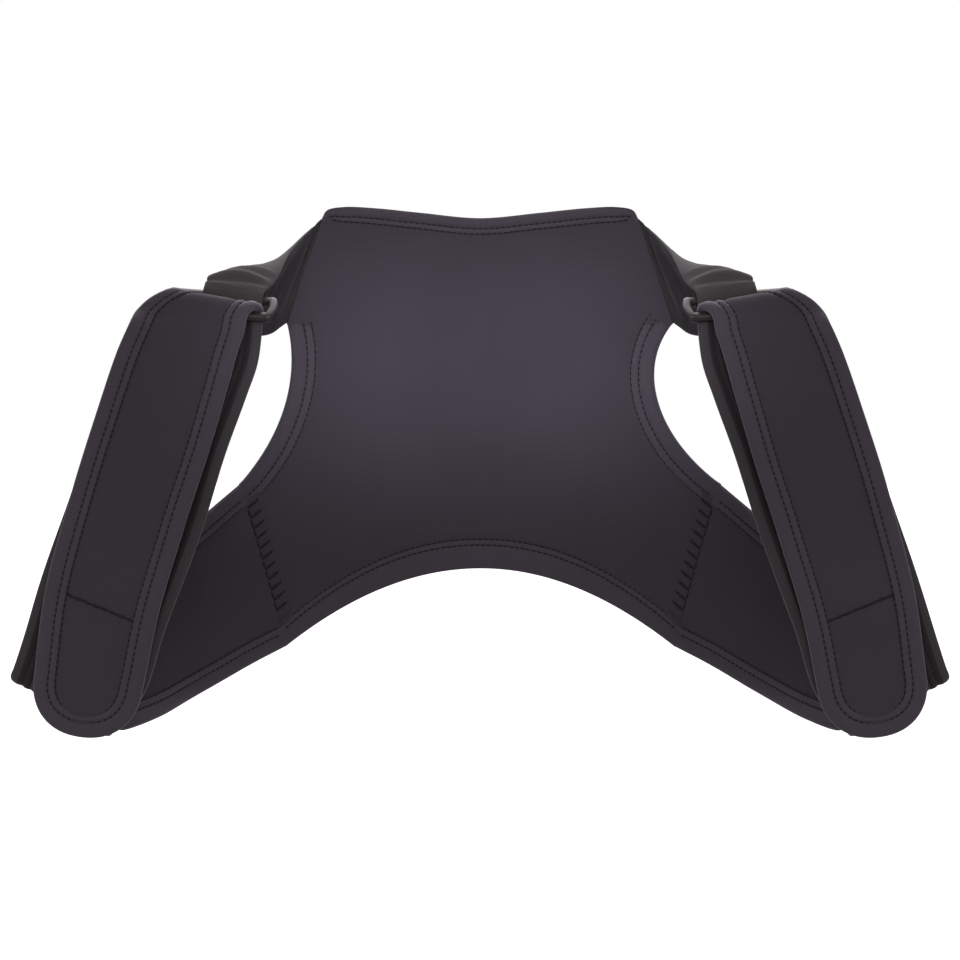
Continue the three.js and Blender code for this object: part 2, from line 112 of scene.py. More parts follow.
def smooth_step(x):
    """0 below 0, 1 above 1, and an S-shaped rise between."""
    x = np.clip(x, 0, 1)
    return x * x * (3 - 2 * x)


def bell(x):
    """1 at 0, falling to nothing on both sides: the exponential of minus the square."""
    return np.exp(-(x**2))


def signed_power(v, power):
    """The power of each value's size, with the value's own sign."""
    return np.sign(v) * np.abs(v) ** power


def through(rows, steps):
    """A curve through the rows: between two rows a cubic, whose slope at a row blends the slopes to its two
    neighbours, each weighted by the root of the distance. steps gives the samples in each gap."""
    rows = np.asarray(rows, float)
    ends = np.concatenate([2 * rows[:1] - rows[1:2], rows, 2 * rows[-1:] - rows[-2:-1]])
    gap = np.append(np.repeat(np.arange(len(rows) - 1), steps), len(rows) - 2)
    share = np.append(np.concatenate([np.arange(s) / s for s in steps]), 1.0)
    share = share.reshape((-1,) + (1,) * (rows.ndim - 1))
    p0, p1, p2, p3 = (ends[gap + k] for k in range(4))
    pairs = (p0, p1), (p1, p2), (p2, p3)
    d0, d1, d2 = (np.sqrt(np.linalg.norm(b - a, axis=-1, keepdims=True)) for a, b in pairs)
    leave = ((p1 - p0) / d0 - (p2 - p0) / (d0 + d1) + (p2 - p1) / d1) * d1
    arrive = ((p2 - p1) / d1 - (p3 - p1) / (d1 + d2) + (p3 - p2) / d2) * d1
    square, cube = share**2, share**3
    return ((2 * cube - 3 * square + 1) * p1 + (cube - 2 * square + share) * leave
            + (3 * square - 2 * cube) * p2 + (cube - square) * arrive)


def steps_for(rows, spacing, most=24):
    """Samples for each gap between rows: its length over the wanted spacing."""
    gaps = np.linalg.norm(np.diff(np.asarray(rows, float), axis=0), axis=-1)
    return np.clip(np.rint(gaps / spacing), 2, most).astype(int)


def lengths(points):
    """Distance along a line of points, starting at 0."""
    return np.append(0, np.cumsum(np.linalg.norm(np.diff(points, axis=0), axis=-1)))


def sample(at, run, values):
    """Values of a line at some distances along it."""
    return np.stack([np.interp(at, run, column) for column in values.T], -1)


def normals_of(grid):
    """Unit normals of a grid of points: slope along the rows crossed with slope across them."""
    return unit(np.cross(np.gradient(grid, axis=0), np.gradient(grid, axis=1)))


# %% [markdown]
# A piece of cloth is a closed body: its face, its back and a rim between them. Two grids of points with the
# same rows and columns give all three, and the faces are worked out from the grid's numbering. The winding is
# then tested with the body's signed volume, so that mirrored pieces also point outwards.

# %% Meshes from grids
SHARP_ANGLE = np.radians(50)  # edges that turn by more than this stay sharp


def grid_quads(rows, columns, first=0):
    """Quads of a grid whose points are numbered row by row."""
    i, j = np.meshgrid(np.arange(rows - 1), np.arange(columns - 1), indexing="ij")
    at = first + i * columns + j
    return np.stack([at, at + columns, at + columns + 1, at + 1], -1).reshape(-1, 4)


def signed_volume(points, quads):
    """Sum over the quads of the small tetrahedra that they span with the origin."""
    a, b, c, d = (points[quads[:, k]] for k in range(4))
    return np.sum(np.cross(b - a, c - a) * a) + np.sum(np.cross(c - a, d - a) * a)


def make_object(name, points, quads, materials, kinds=None, uv=None):
    """A mesh object at the origin. Points and uv are in millimetres, and kinds picks a material for each
    face. The mesh is in metres, its UV map in centimetres of cloth."""
    points = np.asarray(points, float).reshape(-1, 3)
    if signed_volume(points, quads) < 0:
        quads = quads[:, ::-1]
    mesh = bpy.data.meshes.new(name)
    mesh.from_pydata((points * MM).tolist(), [], quads.tolist())
    if uv is not None:
        layer = mesh.uv_layers.new(name="cloth")
        layer.data.foreach_set("uv", np.asarray(uv, float).reshape(-1, 2)[quads.ravel()].ravel() / 10)
    for material in materials:
        mesh.materials.append(material)
    if kinds is not None:
        mesh.polygons.foreach_set("material_index", np.asarray(kinds, np.int32))
    mesh.polygons.foreach_set("use_smooth", np.ones(len(quads), bool))
    mesh.set_sharp_from_angle(angle=SHARP_ANGLE)
    mesh.validate()
    made = bpy.data.objects.new(name, mesh)
    bpy.context.collection.objects.link(made)
    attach(made, "root")
    return made


def closed_sheet(name, face, back, materials, uv):
    """Cloth between two grids: the face, the back turned over, and a rim round the four borders."""
    rows, columns = face.shape[:2]
    count = rows * columns
    border = np.concatenate([
        np.arange(columns - 1), np.arange(rows - 1) * columns + columns - 1,
        count - 1 - np.arange(columns - 1), (rows - 1 - np.arange(rows - 1)) * columns])
    after = np.roll(border, -1)
    front = grid_quads(rows, columns)
    rear = grid_quads(rows, columns, count)[:, ::-1]
    rim = np.stack([border, after, after + count, border + count], -1)
    quads = np.concatenate([front, rear, rim])
    kinds = np.repeat([0, 1, 1], [len(front), len(rear), len(rim)])
    return make_object(name, np.stack([face, back]), quads, materials, kinds, np.stack([uv, uv]))


def swept(name, sections, materials, uv=None, ring=False, changes=()):
    """A closed section carried along a path: neighbouring sections are joined point by point, and the two
    end sections are closed by joining their points in pairs. Past each section point in changes the faces
    get the next material."""
    rows, columns = sections.shape[:2]
    i, j = np.meshgrid(np.arange(rows if ring else rows - 1), np.arange(columns), indexing="ij")
    at = lambda a, b: (a % rows) * columns + b % columns
    quads = np.stack([at(i, j), at(i + 1, j), at(i + 1, j + 1), at(i, j + 1)], -1).reshape(-1, 4)
    if not ring:
        k = np.arange(columns // 2 - 1)
        cap = np.stack([k, k + 1, columns - 2 - k, columns - 1 - k], -1)
        quads = np.concatenate([quads, cap, (cap + (rows - 1) * columns)[:, ::-1]])
    kinds = np.searchsorted(changes, quads.min(axis=1) % columns, side="right")
    return make_object(name, sections, quads, materials, kinds, uv)


print("helpers ready")

# %% [markdown]
# ## Finishes
#
# The neoprene is faced with a fine jersey on the skin side, which looks purple-black, and with brushed loop
# cloth on the outside, which is warmer and duller. The bindings are of the same jersey, with light and shade
# painted into it: darker outside as painted shade, paler on the skin side as painted light caught by the
# rounded hems, and lighter along the fold of the straps as painted light. The tabs' skin side is painted
# darker as shade. The patterns follow the cloth, so they read its own UV map, in centimetres. A knit is two
# sets of soft ribs, one along and one across, and lint, wear and dye make it uneven, so noise at two scales
# varies the colour and the roughness. An image of cloth could do this too, but nodes stay sharp at any
# distance.

# %% Shader helpers
def set_inputs(made, values):
    """Inputs of a node set by name, with underscores for the spaces."""
    for key, value in values.items():
        made.inputs[key.replace("_", " ")].default_value = value


def new_material(name, **values):
    """A material with the inputs of its main shader set by name."""
    material = bpy.data.materials.new(name)
    material.use_nodes = True
    set_inputs(material.node_tree.nodes["Principled BSDF"], values)
    return material


def node(tree, kind, **values):
    """One shader node to the left of those before it, with its inputs set by name."""
    made = tree.nodes.new(kind)
    made.location = (-250 * len(tree.nodes), 0)
    set_inputs(made, values)
    return made


def combine(tree, operation, *sources):
    """A Math node fed by sockets and plain numbers."""
    made = node(tree, "ShaderNodeMath")
    made.operation = operation
    for socket, source in zip(made.inputs, sources):
        if isinstance(source, float):
            socket.default_value = source
        else:
            tree.links.new(source, socket)
    return made.outputs[0]


def dress(tree, value, tones, span, grain, rough, layers):
    """Colour goes from the dark to the light tone as the value crosses the span, and roughness between two
    values with the grain. Bumps lie one over the other, each with a height, a strength and a depth."""
    link = tree.links.new
    shader = tree.nodes["Principled BSDF"]
    ramp = node(tree, "ShaderNodeValToRGB")
    for stop, place, tone in zip(ramp.color_ramp.elements, span, tones):
        stop.position = place
        stop.color = (*tone, 1)
    link(value, ramp.inputs["Fac"])
    link(ramp.outputs["Color"], shader.inputs["Base Color"])
    uneven = node(tree, "ShaderNodeMapRange", To_Min=rough[0], To_Max=rough[1])
    link(grain, uneven.inputs["Value"])
    link(uneven.outputs["Result"], shader.inputs["Roughness"])
    normal = shader.inputs["Normal"]
    for height, strength, depth in reversed(layers):
        bump = node(tree, "ShaderNodeBump", Strength=strength, Distance=depth)
        link(height, bump.inputs["Height"])
        link(bump.outputs["Normal"], normal)
        normal = bump.inputs["Normal"]


print("shader helpers ready")

# %% Cloths
CLOTH_SHINE = {"Sheen_Roughness": 0.45, "Sheen_Tint": (0.9, 0.88, 0.95, 1), "Specular_IOR_Level": 0.22}
SLOW_PART, LINT_PART = 0.3, 0.6  # how much the slow unevenness and the lint count beside the ribs
JERSEY = {"ribs": (5.6, 4.8), "height": 0.00006, "lint": 30.0}
BRUSHED = {"ribs": (4.2, 3.6), "height": 0.00008, "lint": 55.0}
HOOKS = {"ribs": (2.0, 2.0), "height": 0.0006, "lint": 12.0}
CLOTHS = {  # dark tone, light tone, weave, sheen, least and most roughness
    "skin_side_jersey": ((0.020, 0.0172, 0.0215), (0.046, 0.0396, 0.0497), JERSEY, 0.10, (0.72, 0.95)),
    # painted light: this binding jersey is paler than the skin-side jersey, as light caught by the rounded
    # hems
    "painted_light_binding_cloth": ((0.0265, 0.0228, 0.0284), (0.061, 0.0525, 0.066), JERSEY, 0.3, (0.7, 0.92)),
    # painted shade: the outer face of every binding is darker, as the shade beside the front straps
    "painted_shade_binding_outside": ((0.0095, 0.0085, 0.0091), (0.024, 0.0214, 0.0228), JERSEY, 0.10, (0.78, 0.95)),
    # painted light: the fold of the strap bindings is lighter, as light on the free edge of the shaded strip
    "painted_light_binding_fold": ((0.0200, 0.0177, 0.0193), (0.048, 0.0425, 0.0463), JERSEY, 0.15, (0.75, 0.95)),
    # painted shade: the tabs' skin side is darker than the panel's jersey, as shade
    "painted_shade_tab_cloth": ((0.013, 0.0115, 0.0122), (0.030, 0.0265, 0.0282), JERSEY, 0.08, (0.75, 0.95)),
    "outer_loop_cloth": ((0.0185, 0.0163, 0.0160), (0.058, 0.0508, 0.0500), BRUSHED, 0.12, (0.85, 1.0)),
    "hook_tape": ((0.006, 0.0055, 0.006), (0.02, 0.019, 0.02), HOOKS, 0.05, (0.5, 0.8)),
}


def cloth_material(name, dark, light, weave, sheen, rough):
    """Knitted cloth. Ribs are waves across and along the cloth, lint is fine noise, and both go into the
    bump. The colour runs from dark to light with the ribs, the lint and a slow unevenness."""
    material = new_material(name, Sheen_Weight=sheen, **CLOTH_SHINE)
    tree = material.node_tree
    place = node(tree, "ShaderNodeTexCoord").outputs
    wave = {"Distortion": 0.6, "Detail": 1.0}
    across, along = (node(tree, "ShaderNodeTexWave", Scale=ribs, **wave) for ribs in weave["ribs"])
    across.bands_direction, along.bands_direction = "X", "Y"
    lint = node(tree, "ShaderNodeTexNoise", Scale=weave["lint"], Detail=3.0, Roughness=0.6)
    slow = node(tree, "ShaderNodeTexNoise", Scale=14.0, Detail=3.0, Roughness=0.55)
    for texture, source in ((across, "UV"), (along, "UV"), (lint, "UV"), (slow, "Object")):
        tree.links.new(place[source], texture.inputs["Vector"])
    fuzz = lint.outputs["Fac"]
    knit = combine(tree, "MULTIPLY", across.outputs["Fac"], along.outputs["Fac"])
    tone = combine(tree, "MULTIPLY_ADD", slow.outputs["Fac"], SLOW_PART, knit)
    patchy = combine(tree, "MULTIPLY_ADD", fuzz, LINT_PART, tone)
    layers = [(knit, 0.7, weave["height"]), (fuzz, 0.5, weave["height"] * 0.8)]
    dress(tree, patchy, (dark, light), (0.3, 1.0), fuzz, rough, layers)
    return material


cloths = {name: cloth_material(name, *row) for name, row in CLOTHS.items()}
print("cloths:", list(cloths))

# %% [markdown]
# Thread is twisted from fine strands, which at this size are only a grain of light and dark. The ring is
# moulded plastic: an even grey with a faint grain from the mould, and smoother than any of the cloths.

# %% Thread and plastic
def plain_material(name, dark, light, scale, depth, rough):
    """A finish in Object coordinates: noise moves the colour between two tones, the roughness between two
    values, and gives a fine bump."""
    material = new_material(name, Specular_IOR_Level=0.25)
    tree = material.node_tree
    place = node(tree, "ShaderNodeTexCoord")
    noise = node(tree, "ShaderNodeTexNoise", Scale=scale, Detail=4.0, Roughness=0.6)
    tree.links.new(place.outputs["Object"], noise.inputs["Vector"])
    grain = noise.outputs["Fac"]
    dress(tree, grain, (dark, light), (0.3, 0.7), grain, rough, [(grain, 0.4, depth)])
    return material


thread = plain_material("sewing_thread", (0.004, 0.0035, 0.0045), (0.011, 0.010, 0.012),
                        2500.0, 0.0001, (0.55, 0.8))
ring_plastic = plain_material("moulded_plastic", (0.0155, 0.014, 0.0145), (0.026, 0.0235, 0.0243),
                              900.0, 0.00006, (0.3, 0.42))
print("thread and plastic ready")

# %% [markdown]
# ## The back panel's surface
#
# The panel wraps the upper back: its depth falls off with the square of the distance from the middle, more
# quickly across than up and down. A real sheet of neoprene isn't perfectly even, so slow waves of half a
# millimetre are added. Everything that is sewn to the panel takes its place from this one function.

# %% Panel surface
PANEL = {"back": 84, "wrap": 0.0015, "bow": 0.00025, "mid": -60}
BROAD_WAVE, FINE_WAVE = (0.5, 31, 43), (0.35, 17, 29)  # height, and length over X and over Z
SHOULDER_TOP, SHOULDER_LOW = np.array([90.0, 32.0]), np.array([110.0, -27.0])
SEAM_TOP, SEAM_LOW = np.array([136.6, -118.2]), np.array([111.5, -211.6])
seam_down = unit(SEAM_LOW - SEAM_TOP)
seam_inward = np.array([seam_down[1], -seam_down[0]])
ARMHOLE_PULL = {"left": ((111, -89), (103, -56)), "right": ((101, -92), (89, -53))}
ARCH_TOP = -169.0
TOP_EDGE = np.array([(0, 33), (34, 36), (60, 38.5), (78, 39), (87, 37), (90, 32)], float)
#        width of the strip, and of the flap beyond its first row of stitches
HEM = {"top": (8.9, 3.2), "bottom": (16.7, 3.1), "armhole": (12.8, 4.2), "strap": (11.8, 3.8)}


def panel_point(flat):
    """Depth is the deepest point less a square law in X and in Z, with slow waves; flat holds X and Z."""
    x, z = flat[..., 0], flat[..., 1]
    depth = PANEL["back"] - PANEL["wrap"] * x**2 - PANEL["bow"] * (z - PANEL["mid"]) ** 2
    tall, wide, high = BROAD_WAVE
    depth = depth + tall * np.sin(x / wide + 0.7) * np.sin(z / high + 0.4)
    tall, wide, high = FINE_WAVE
    return np.stack([x, depth + tall * np.sin(x / wide - z / high), z], -1)


def panel_normal(flat):
    """Slopes of the square laws, pointing from the skin side to the outside."""
    x, z = flat[..., 0], flat[..., 1]
    return unit(np.stack([2 * PANEL["wrap"] * x, np.ones_like(x), 2 * PANEL["bow"] * (z - PANEL["mid"])], -1))


def arch(x):
    """The lower edge: a parabola from one wing seam to the other."""
    return ARCH_TOP - (ARCH_TOP - SEAM_LOW[1]) * (x / SEAM_LOW[0]) ** 2


def arch_hem(x):
    """Width of the lower hem: full in the middle, and as wide as the strap's hem at the wing seams."""
    share = np.clip(np.abs(x / SEAM_LOW[0]), 0, 1)
    return blend(HEM["bottom"][0], HEM["strap"][0], smooth_step(share) * share)


def armhole(side, share):
    """A cubic Bezier curve from the wing seam up to the shoulder line, in outward X and Z."""
    low, high = (np.array(p, float) for p in ARMHOLE_PULL[side])
    s = np.asarray(share)[:, None]
    lower = (1 - s) ** 3 * SEAM_TOP + 3 * s * (1 - s) ** 2 * low
    return lower + 3 * s**2 * (1 - s) * high + s**3 * SHOULDER_LOW


top_line = through(np.concatenate([TOP_EDGE[:0:-1] * (-1, 1), TOP_EDGE]), [16] * 10)
top_run = lengths(top_line)


def top_at(share):
    """A point of the top edge at a share of its length, left to right."""
    return sample(share * top_run[-1], top_run, top_line)


print("top edge", round(top_run[-1]), "mm")

# %% [markdown]
# Where a binding covers it the cloth is squeezed thinner, and beside the stitches it rises again, which gives
# the soft shoulder that a sewn hem has. Along the wing seams a zigzag thread presses into the cloth, which
# swells between its rungs. Both change the thickness, so they are worked out before the panel is made.

# %% Thickness of the panel's cloth
CLOTH_HALF, TUCKED_HALF = 1.75, 1.2  # half the cloth's thickness when free and under a binding
HEM_RISE = 4  # the way in from a binding over which the cloth rises
SEAM_DIP = (0.5, 0.8)  # how deep and how wide the cloth dips at the wing seam
ZIGZAG = {"pitch": 6.1, "wide": 7.8, "slant": 0.45, "from": 14.5, "rungs": 11, "thread": 0.72}
SWELL, PULL = 0.8, 1.5  # of the cloth between the zigzag's rungs, and how far a rung pulls it back in
SWOLLEN, PUFF_MARGIN = (2, 100), 0.4  # stretch of the seam that swells, and how far past the rungs
FAR = 40  # a distance beyond the reach of any hem
EDGE_LEAN = 0.85  # distance across the armhole's slanting edge over the distance along X


def cloth_half(clear):
    """Half thickness at a distance inside a binding's border."""
    return TUCKED_HALF + (CLOTH_HALF - TUCKED_HALF) * smooth_step(clear / HEM_RISE + 0.05)


def seam_dip(beside):
    """How much thinner the cloth is at a distance from the wing seam."""
    return SEAM_DIP[0] * bell(beside / SEAM_DIP[1])


def seam_puff(along, beside):
    """The cloth swells between the rungs of the seam's zigzag, within a flat-topped bell as wide as they are,
    and is pulled in at the rungs and at the seam. Beside is the distance from the seam into the panel."""
    rung = np.cos(np.pi * (along + ZIGZAG["slant"] * beside - ZIGZAG["from"]) / ZIGZAG["pitch"]) ** 2
    middle = ZIGZAG["wide"] / 2
    near = np.exp(-(((beside - middle) / (middle + PUFF_MARGIN)) ** 6))
    return near * (SWELL - PULL * rung**2) - seam_dip(beside)


def armhole_reach(flat, side):
    """How far each point lies from one armhole's edge, along X, and far away above and below it."""
    edge = armhole(side, np.linspace(0, 1, 60))
    height = flat[..., 1]
    reach = np.interp(height, edge[:, 1], edge[:, 0]) - SIDES[side] * flat[..., 0]
    return reach + FAR * (height > edge[-1, 1]) + FAR * (height < edge[0, 1])


def panel_half(flat):
    """Half thickness: squeezed under each binding, rising beside it, and puffed along the wing seams."""
    x, z = flat[..., 0], flat[..., 1]
    top = np.interp(x, top_line[:, 0], top_line[:, 1]) - z
    clear = np.minimum(z - arch(x) - arch_hem(x), top - HEM["top"][0])
    for side in SIDES:
        clear = np.minimum(clear, armhole_reach(flat, side) * EDGE_LEAN - HEM["armhole"][0])
    from_seam = np.stack([np.abs(x), z], -1) - SEAM_TOP
    along, beside = from_seam @ seam_down, from_seam @ seam_inward
    puff = np.where((along > SWOLLEN[0]) & (along < SWOLLEN[1]), seam_puff(along, beside), 0)
    return cloth_half(clear) + puff * smooth_step(clear / 2)


print("cloth", 2 * CLOTH_HALF, "mm thick")

# %% [markdown]
# The panel is a patch stretched between its four edges, a Coons patch: the two sides blended across, plus
# the top and bottom blended up, less what both count twice. Each side runs up the wing seam, round the
# armhole and along the shoulder line. The cloth ends a little inside each edge, hidden by its binding.

# %% Panel mesh
PANEL_COLUMNS = 165
SIDE_STEPS = {"seam": 76, "armhole": 44, "shoulder": 16}
SEAM_SHARE, SHOULDER_SHARE = 5 / 17, 13 / 17  # of the panel's height, where the armhole begins and ends
TUCK = {"armhole": 2.5, "bottom": 2.0, "top": 1.5}  # how far inside each edge the cloth ends
TUCK_FADE = 1 / 12  # share of the armhole at each end where its tuck fades


def panel_side(side):
    """The side's points from the bottom up, and how far up the panel each counts. The armhole part is drawn
    in by its tuck, which fades towards both of its ends."""
    s, a, t = (np.linspace(0, 1, n + 1) for n in SIDE_STEPS.values())
    seam = SEAM_LOW + (SEAM_TOP - SEAM_LOW) * s[:, None]
    hole = armhole(side, a)
    hole[:, 0] -= TUCK["armhole"] * smooth_step(np.minimum(a, 1 - a) / TUCK_FADE)
    line = SHOULDER_LOW + (SHOULDER_TOP - SHOULDER_LOW) * t[:, None]
    up = np.concatenate([s[:-1] * SEAM_SHARE, blend(SEAM_SHARE, SHOULDER_SHARE, a[:-1]),
                         blend(SHOULDER_SHARE, 1, t)])
    return np.concatenate([seam[:-1], hole[:-1], line]), up


def panel_flat(columns):
    """The Coons patch in X and Z."""
    right, up = panel_side("right")
    left = panel_side("left")[0] * (-1, 1)
    share = np.linspace(0, 1, columns)
    x = (2 * share - 1) * SEAM_LOW[0]
    low = np.stack([x, arch(x) + TUCK["bottom"]], -1)
    high = top_at(share) - (0, TUCK["top"])
    s, t = share[None, :, None], up[:, None, None]
    corner = blend(blend(low[0], low[-1], s), blend(high[0], high[-1], s), t)
    return blend(left[:, None], right[:, None], s) + blend(low[None], high[None], t) - corner


flat = panel_flat(PANEL_COLUMNS)
middle, outward, half = panel_point(flat), panel_normal(flat), panel_half(flat)[..., None]
panel_cloth = closed_sheet("back_panel_cloth", middle - outward * half, middle + outward * half,
                           [cloths["skin_side_jersey"], cloths["outer_loop_cloth"]], flat)
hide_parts("back_panel")
print("panel triangles", 2 * len(panel_cloth.data.polygons))

# %% [markdown]
# ## Bindings and stitches
#
# A binding is a strip of jersey folded round an edge and sewn through near its inner border. Its section is a
# small table: distance in from the edge and height above the cloth's middle. The rows make the border, the
# groove that the stitches pull in, the plump part and the rounded edge. It is carried along stations, each
# with the edge, the way inwards and the normals at both borders. A curve with a bevel could do it, but not
# fold flat.

# %% Binding section
#  share of width, mm, share of flap, height
BINDING_ROWS = np.array([
    (1, 0, 0, 1.0), (1, 0, 0, 1.6), (1, -0.4, 0, 1.95), (1, 0, -0.5, 2.2), (1, 0.75, -1, 2.0),
    (1, 0.3, -1, 1.5), (1, -0.3, -1, 1.5), (1, -0.85, -1, 2.0), (1, -1.9, -1, 2.35), (0.42, 0, 0, 2.6),
    (0, 2.6, 0, 2.45), (0, 1.2, 0, 2.0), (0, 0.4, 0, 1.35), (0, 0.08, 0, 0.6)])
BINDING_TONES = (9, 13)  # section points where the outer face becomes the fold, and the fold the skin face
CHANNEL = {"depth": 1.7, "half": 1.0}  # the slot in the strip that holds the cloth
FULL_WIDTH = 10  # strips narrower than this have a smaller section


def binding_scale(width):
    """1 for a strip of full width, less for a narrower one."""
    return np.minimum(1, width / FULL_WIDTH)


def binding_points(tip, root, tip_normal, root_normal, width, flap, plump):
    """The section at each station is closed: from the outer face's border round the edge to the skin face's
    border, and along the channel that holds the cloth. Each of its points lies on the line from tip to root,
    and then out along the normal blended between them."""
    share, mm, flap_share, height = BINDING_ROWS.T
    inward = share * width[:, None] + (mm + flap_share * flap) * binding_scale(width)[:, None]
    height = height * plump[:, None]
    channel = np.full((len(width), 2), CHANNEL["depth"])
    walls = np.zeros((len(width), 2)) + (-CHANNEL["half"], CHANNEL["half"])
    inward = np.concatenate([inward, inward[:, ::-1], channel], 1)
    height = np.concatenate([height, -height[:, ::-1], walls], 1)
    share = (inward / width[:, None])[..., None]
    normal = unit(blend(tip_normal[:, None], root_normal[:, None], share))
    return blend(tip[:, None], root[:, None], share) + normal * height[..., None]


print("binding section of", 2 * len(BINDING_ROWS) + 2, "points")

# %% [markdown]
# A stitch is a short piece of thread that comes out of the cloth, lies on it and goes in again. There are
# thousands, so each is a tube of a few dozen faces, and those of a piece are worked out as one array. Copies
# of one stitch could be set along the line too, but they couldn't take the length and slope of their place.

# %% Stitches
STITCH = {"pitch": 3.3, "length": 2.6, "radius": 0.44, "rise": 0.25, "sides": 6, "rings": 5}
STITCH_CAP = np.array([(0, 1, 2, 3), (0, 3, 4, 5)])
STITCH_FACES = STITCH["sides"] * (STITCH["rings"] - 1) + 2 * len(STITCH_CAP)


def stitch_tubes(start, end, up, radius=STITCH["radius"]):
    """Stitches from start to end points: each is a short tube that rises out of the cloth, lies on it and
    dips in again. All are worked out together, as (stitch, ring, side) points."""
    t = np.linspace(0, 1, STITCH["rings"])[None, :, None]
    arc = np.sin(np.pi * t)
    side = unit(np.cross(end - start, up))[:, None]
    centre = blend(start[:, None], end[:, None], t) + up[:, None] * (STITCH["rise"] * (2 * arc - 1))
    angle = np.linspace(0, 2 * np.pi, STITCH["sides"], endpoint=False)[:, None]
    thick = radius * (0.6 + 0.4 * arc)[..., None]
    return centre[:, :, None] + thick * (np.cos(angle) * up[:, None, None] + np.sin(angle) * side[:, :, None])


def stitch_row(path, normal, pitch=STITCH["pitch"], length=STITCH["length"], radius=STITCH["radius"]):
    """Stitches at a steady pitch along a path."""
    run = lengths(path)
    count = int(run[-1] // pitch)
    first = (run[-1] - count * pitch + pitch - length) / 2 + np.arange(count) * pitch
    up = unit(sample(first + length / 2, run, normal))
    return stitch_tubes(sample(first, run, path), sample(first + length, run, path), up, radius)


def thread_object(name, stitches):
    """All stitches of a piece in one mesh: every ring joined to the next, and both ends closed."""
    points = np.concatenate(stitches)
    count, rings, sides = points.shape[:3]
    ring = np.arange(rings - 1)[:, None] * sides
    here = ring + np.arange(sides)
    beside = ring + (np.arange(sides) + 1) % sides
    tube = np.stack([here, here + sides, beside + sides, beside], -1).reshape(-1, 4)
    one = np.concatenate([tube, STITCH_CAP, (STITCH_CAP + (rings - 1) * sides)[:, ::-1]])
    quads = (one[None] + np.arange(count)[:, None, None] * rings * sides).reshape(-1, 4)
    made = make_object(name, points, quads, [thread])
    return made


print("one stitch has", 2 * STITCH_FACES, "triangles")

# %% [markdown]
# The panel has four bindings: the top edge, the arched lower edge and the two armholes. At the wing seams the
# strips turn to run along the seam, so that they meet the straps' own bindings. Near the shoulder tabs they
# are pressed flat, and at its two ends the top one narrows and turns down.

# %% Panel bindings
GROOVE_STITCH = {"height": 1.5, "least": 1.25}
BORDER_STITCH = {"height": 1.45, "inset": -0.25}
PRESSED = 0.53  # share of its height that a binding keeps beside a shoulder tab
TOP_CORNER = {"width": 4.5, "widens": 16, "fills": 45, "turns": 14, "plumps": 30}  # way from the corner
CORNER_START, CORNER_FULL, CORNER_LEAN = 0.15, 0.85, 0.75  # shares of the widening, width and turn
ARMHOLE_PLUMPS = 26
LATE_TURN = 8  # power of the share along the edge, so that a strip turns only close to the seam
panel_strips, panel_stitches = [], []


def left_turn(edge):
    """The direction at right angles to a line of points, to its left."""
    tangent = unit(np.gradient(edge, axis=0))
    return np.stack([-tangent[:, 1], tangent[:, 0]], -1)


def plumped(distance, over):
    """Height of a binding, pressed at a shoulder tab and full at some distance from it."""
    return PRESSED + (1 - PRESSED) * smooth_step(distance / over)


def make_binding(name, stations, width, hem, node_name, caps, plump=None, fold="painted_shade_binding_outside"):
    """The strip, and two rows of stitches on each face: in the groove, and beside the border."""
    tip, root, tip_normal, root_normal = stations
    plump = np.ones(len(tip)) if plump is None else plump
    flap = HEM[hem][1]
    points = binding_points(*stations, width, flap, plump)
    # outer face painted darker as shade, the fold as given, the skin face painted paler as light
    faces = [cloths[cloth] for cloth in ("painted_shade_binding_outside", fold, "painted_light_binding_cloth")]
    uv = np.stack(np.meshgrid(lengths(points[len(points) // 2]), lengths(tip)), -1)
    strip = swept(name, points, faces, uv, changes=BINDING_TONES)
    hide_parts(node_name)
    inside, rows = slice(caps, len(tip) - caps), []
    groove = np.maximum(GROOVE_STITCH["least"], GROOVE_STITCH["height"] * plump)
    border = np.full(len(tip), BORDER_STITCH["height"])
    for inset, height in ((flap, groove), (BORDER_STITCH["inset"], border)):
        share = (1 - inset * binding_scale(width) / width)[:, None]
        line, normal = blend(tip, root, share), unit(blend(tip_normal, root_normal, share))
        for face in (1, -1):
            lifted = line + normal * height[:, None] * face
            rows.append(stitch_row(lifted[inside], normal[inside] * face))
    return strip, rows


def bind_panel(name, edge, inward, width, hem, node_name, caps, plump=None):
    """A binding of the panel from edge points and the way inwards, both in X and Z."""
    root = edge + inward * width[:, None]
    stations = panel_point(edge), panel_point(root), panel_normal(edge), panel_normal(root)
    strip, rows = make_binding(name, stations, width, hem, node_name, caps, plump)
    panel_strips.append(strip)
    panel_stitches.extend(rows)


top_points = top_at(np.linspace(0, 1, 140))
from_end = SHOULDER_TOP[0] - np.abs(top_points[:, 0])
widen = smooth_step(from_end / TOP_CORNER["widens"] + CORNER_START)
fill = blend(CORNER_FULL, 1, smooth_step(from_end / TOP_CORNER["fills"]))
top_width = blend(TOP_CORNER["width"], HEM["top"][0], widen * fill)
lean = smooth_step(1 - from_end / TOP_CORNER["turns"])[:, None] * CORNER_LEAN
top_inward = unit(blend(-left_turn(top_points), np.array([0, -1.0]), lean))
bind_panel("top_binding", top_points, top_inward, top_width, "top", "binding_top", 4,
           plumped(from_end, TOP_CORNER["plumps"]))

arch_x = np.linspace(-1, 1, 140) * SEAM_LOW[0]
arch_points = np.stack([arch_x, arch(arch_x)], -1)
lean = (np.abs(arch_x / SEAM_LOW[0]) ** LATE_TURN)[:, None]
along_seam = -seam_down * np.stack([np.sign(arch_x), np.ones_like(arch_x)], -1)
arch_inward = unit(blend(left_turn(arch_points), along_seam, lean))
bind_panel("bottom_binding", arch_points, arch_inward, arch_hem(arch_x), "bottom", "binding_bottom", 1)

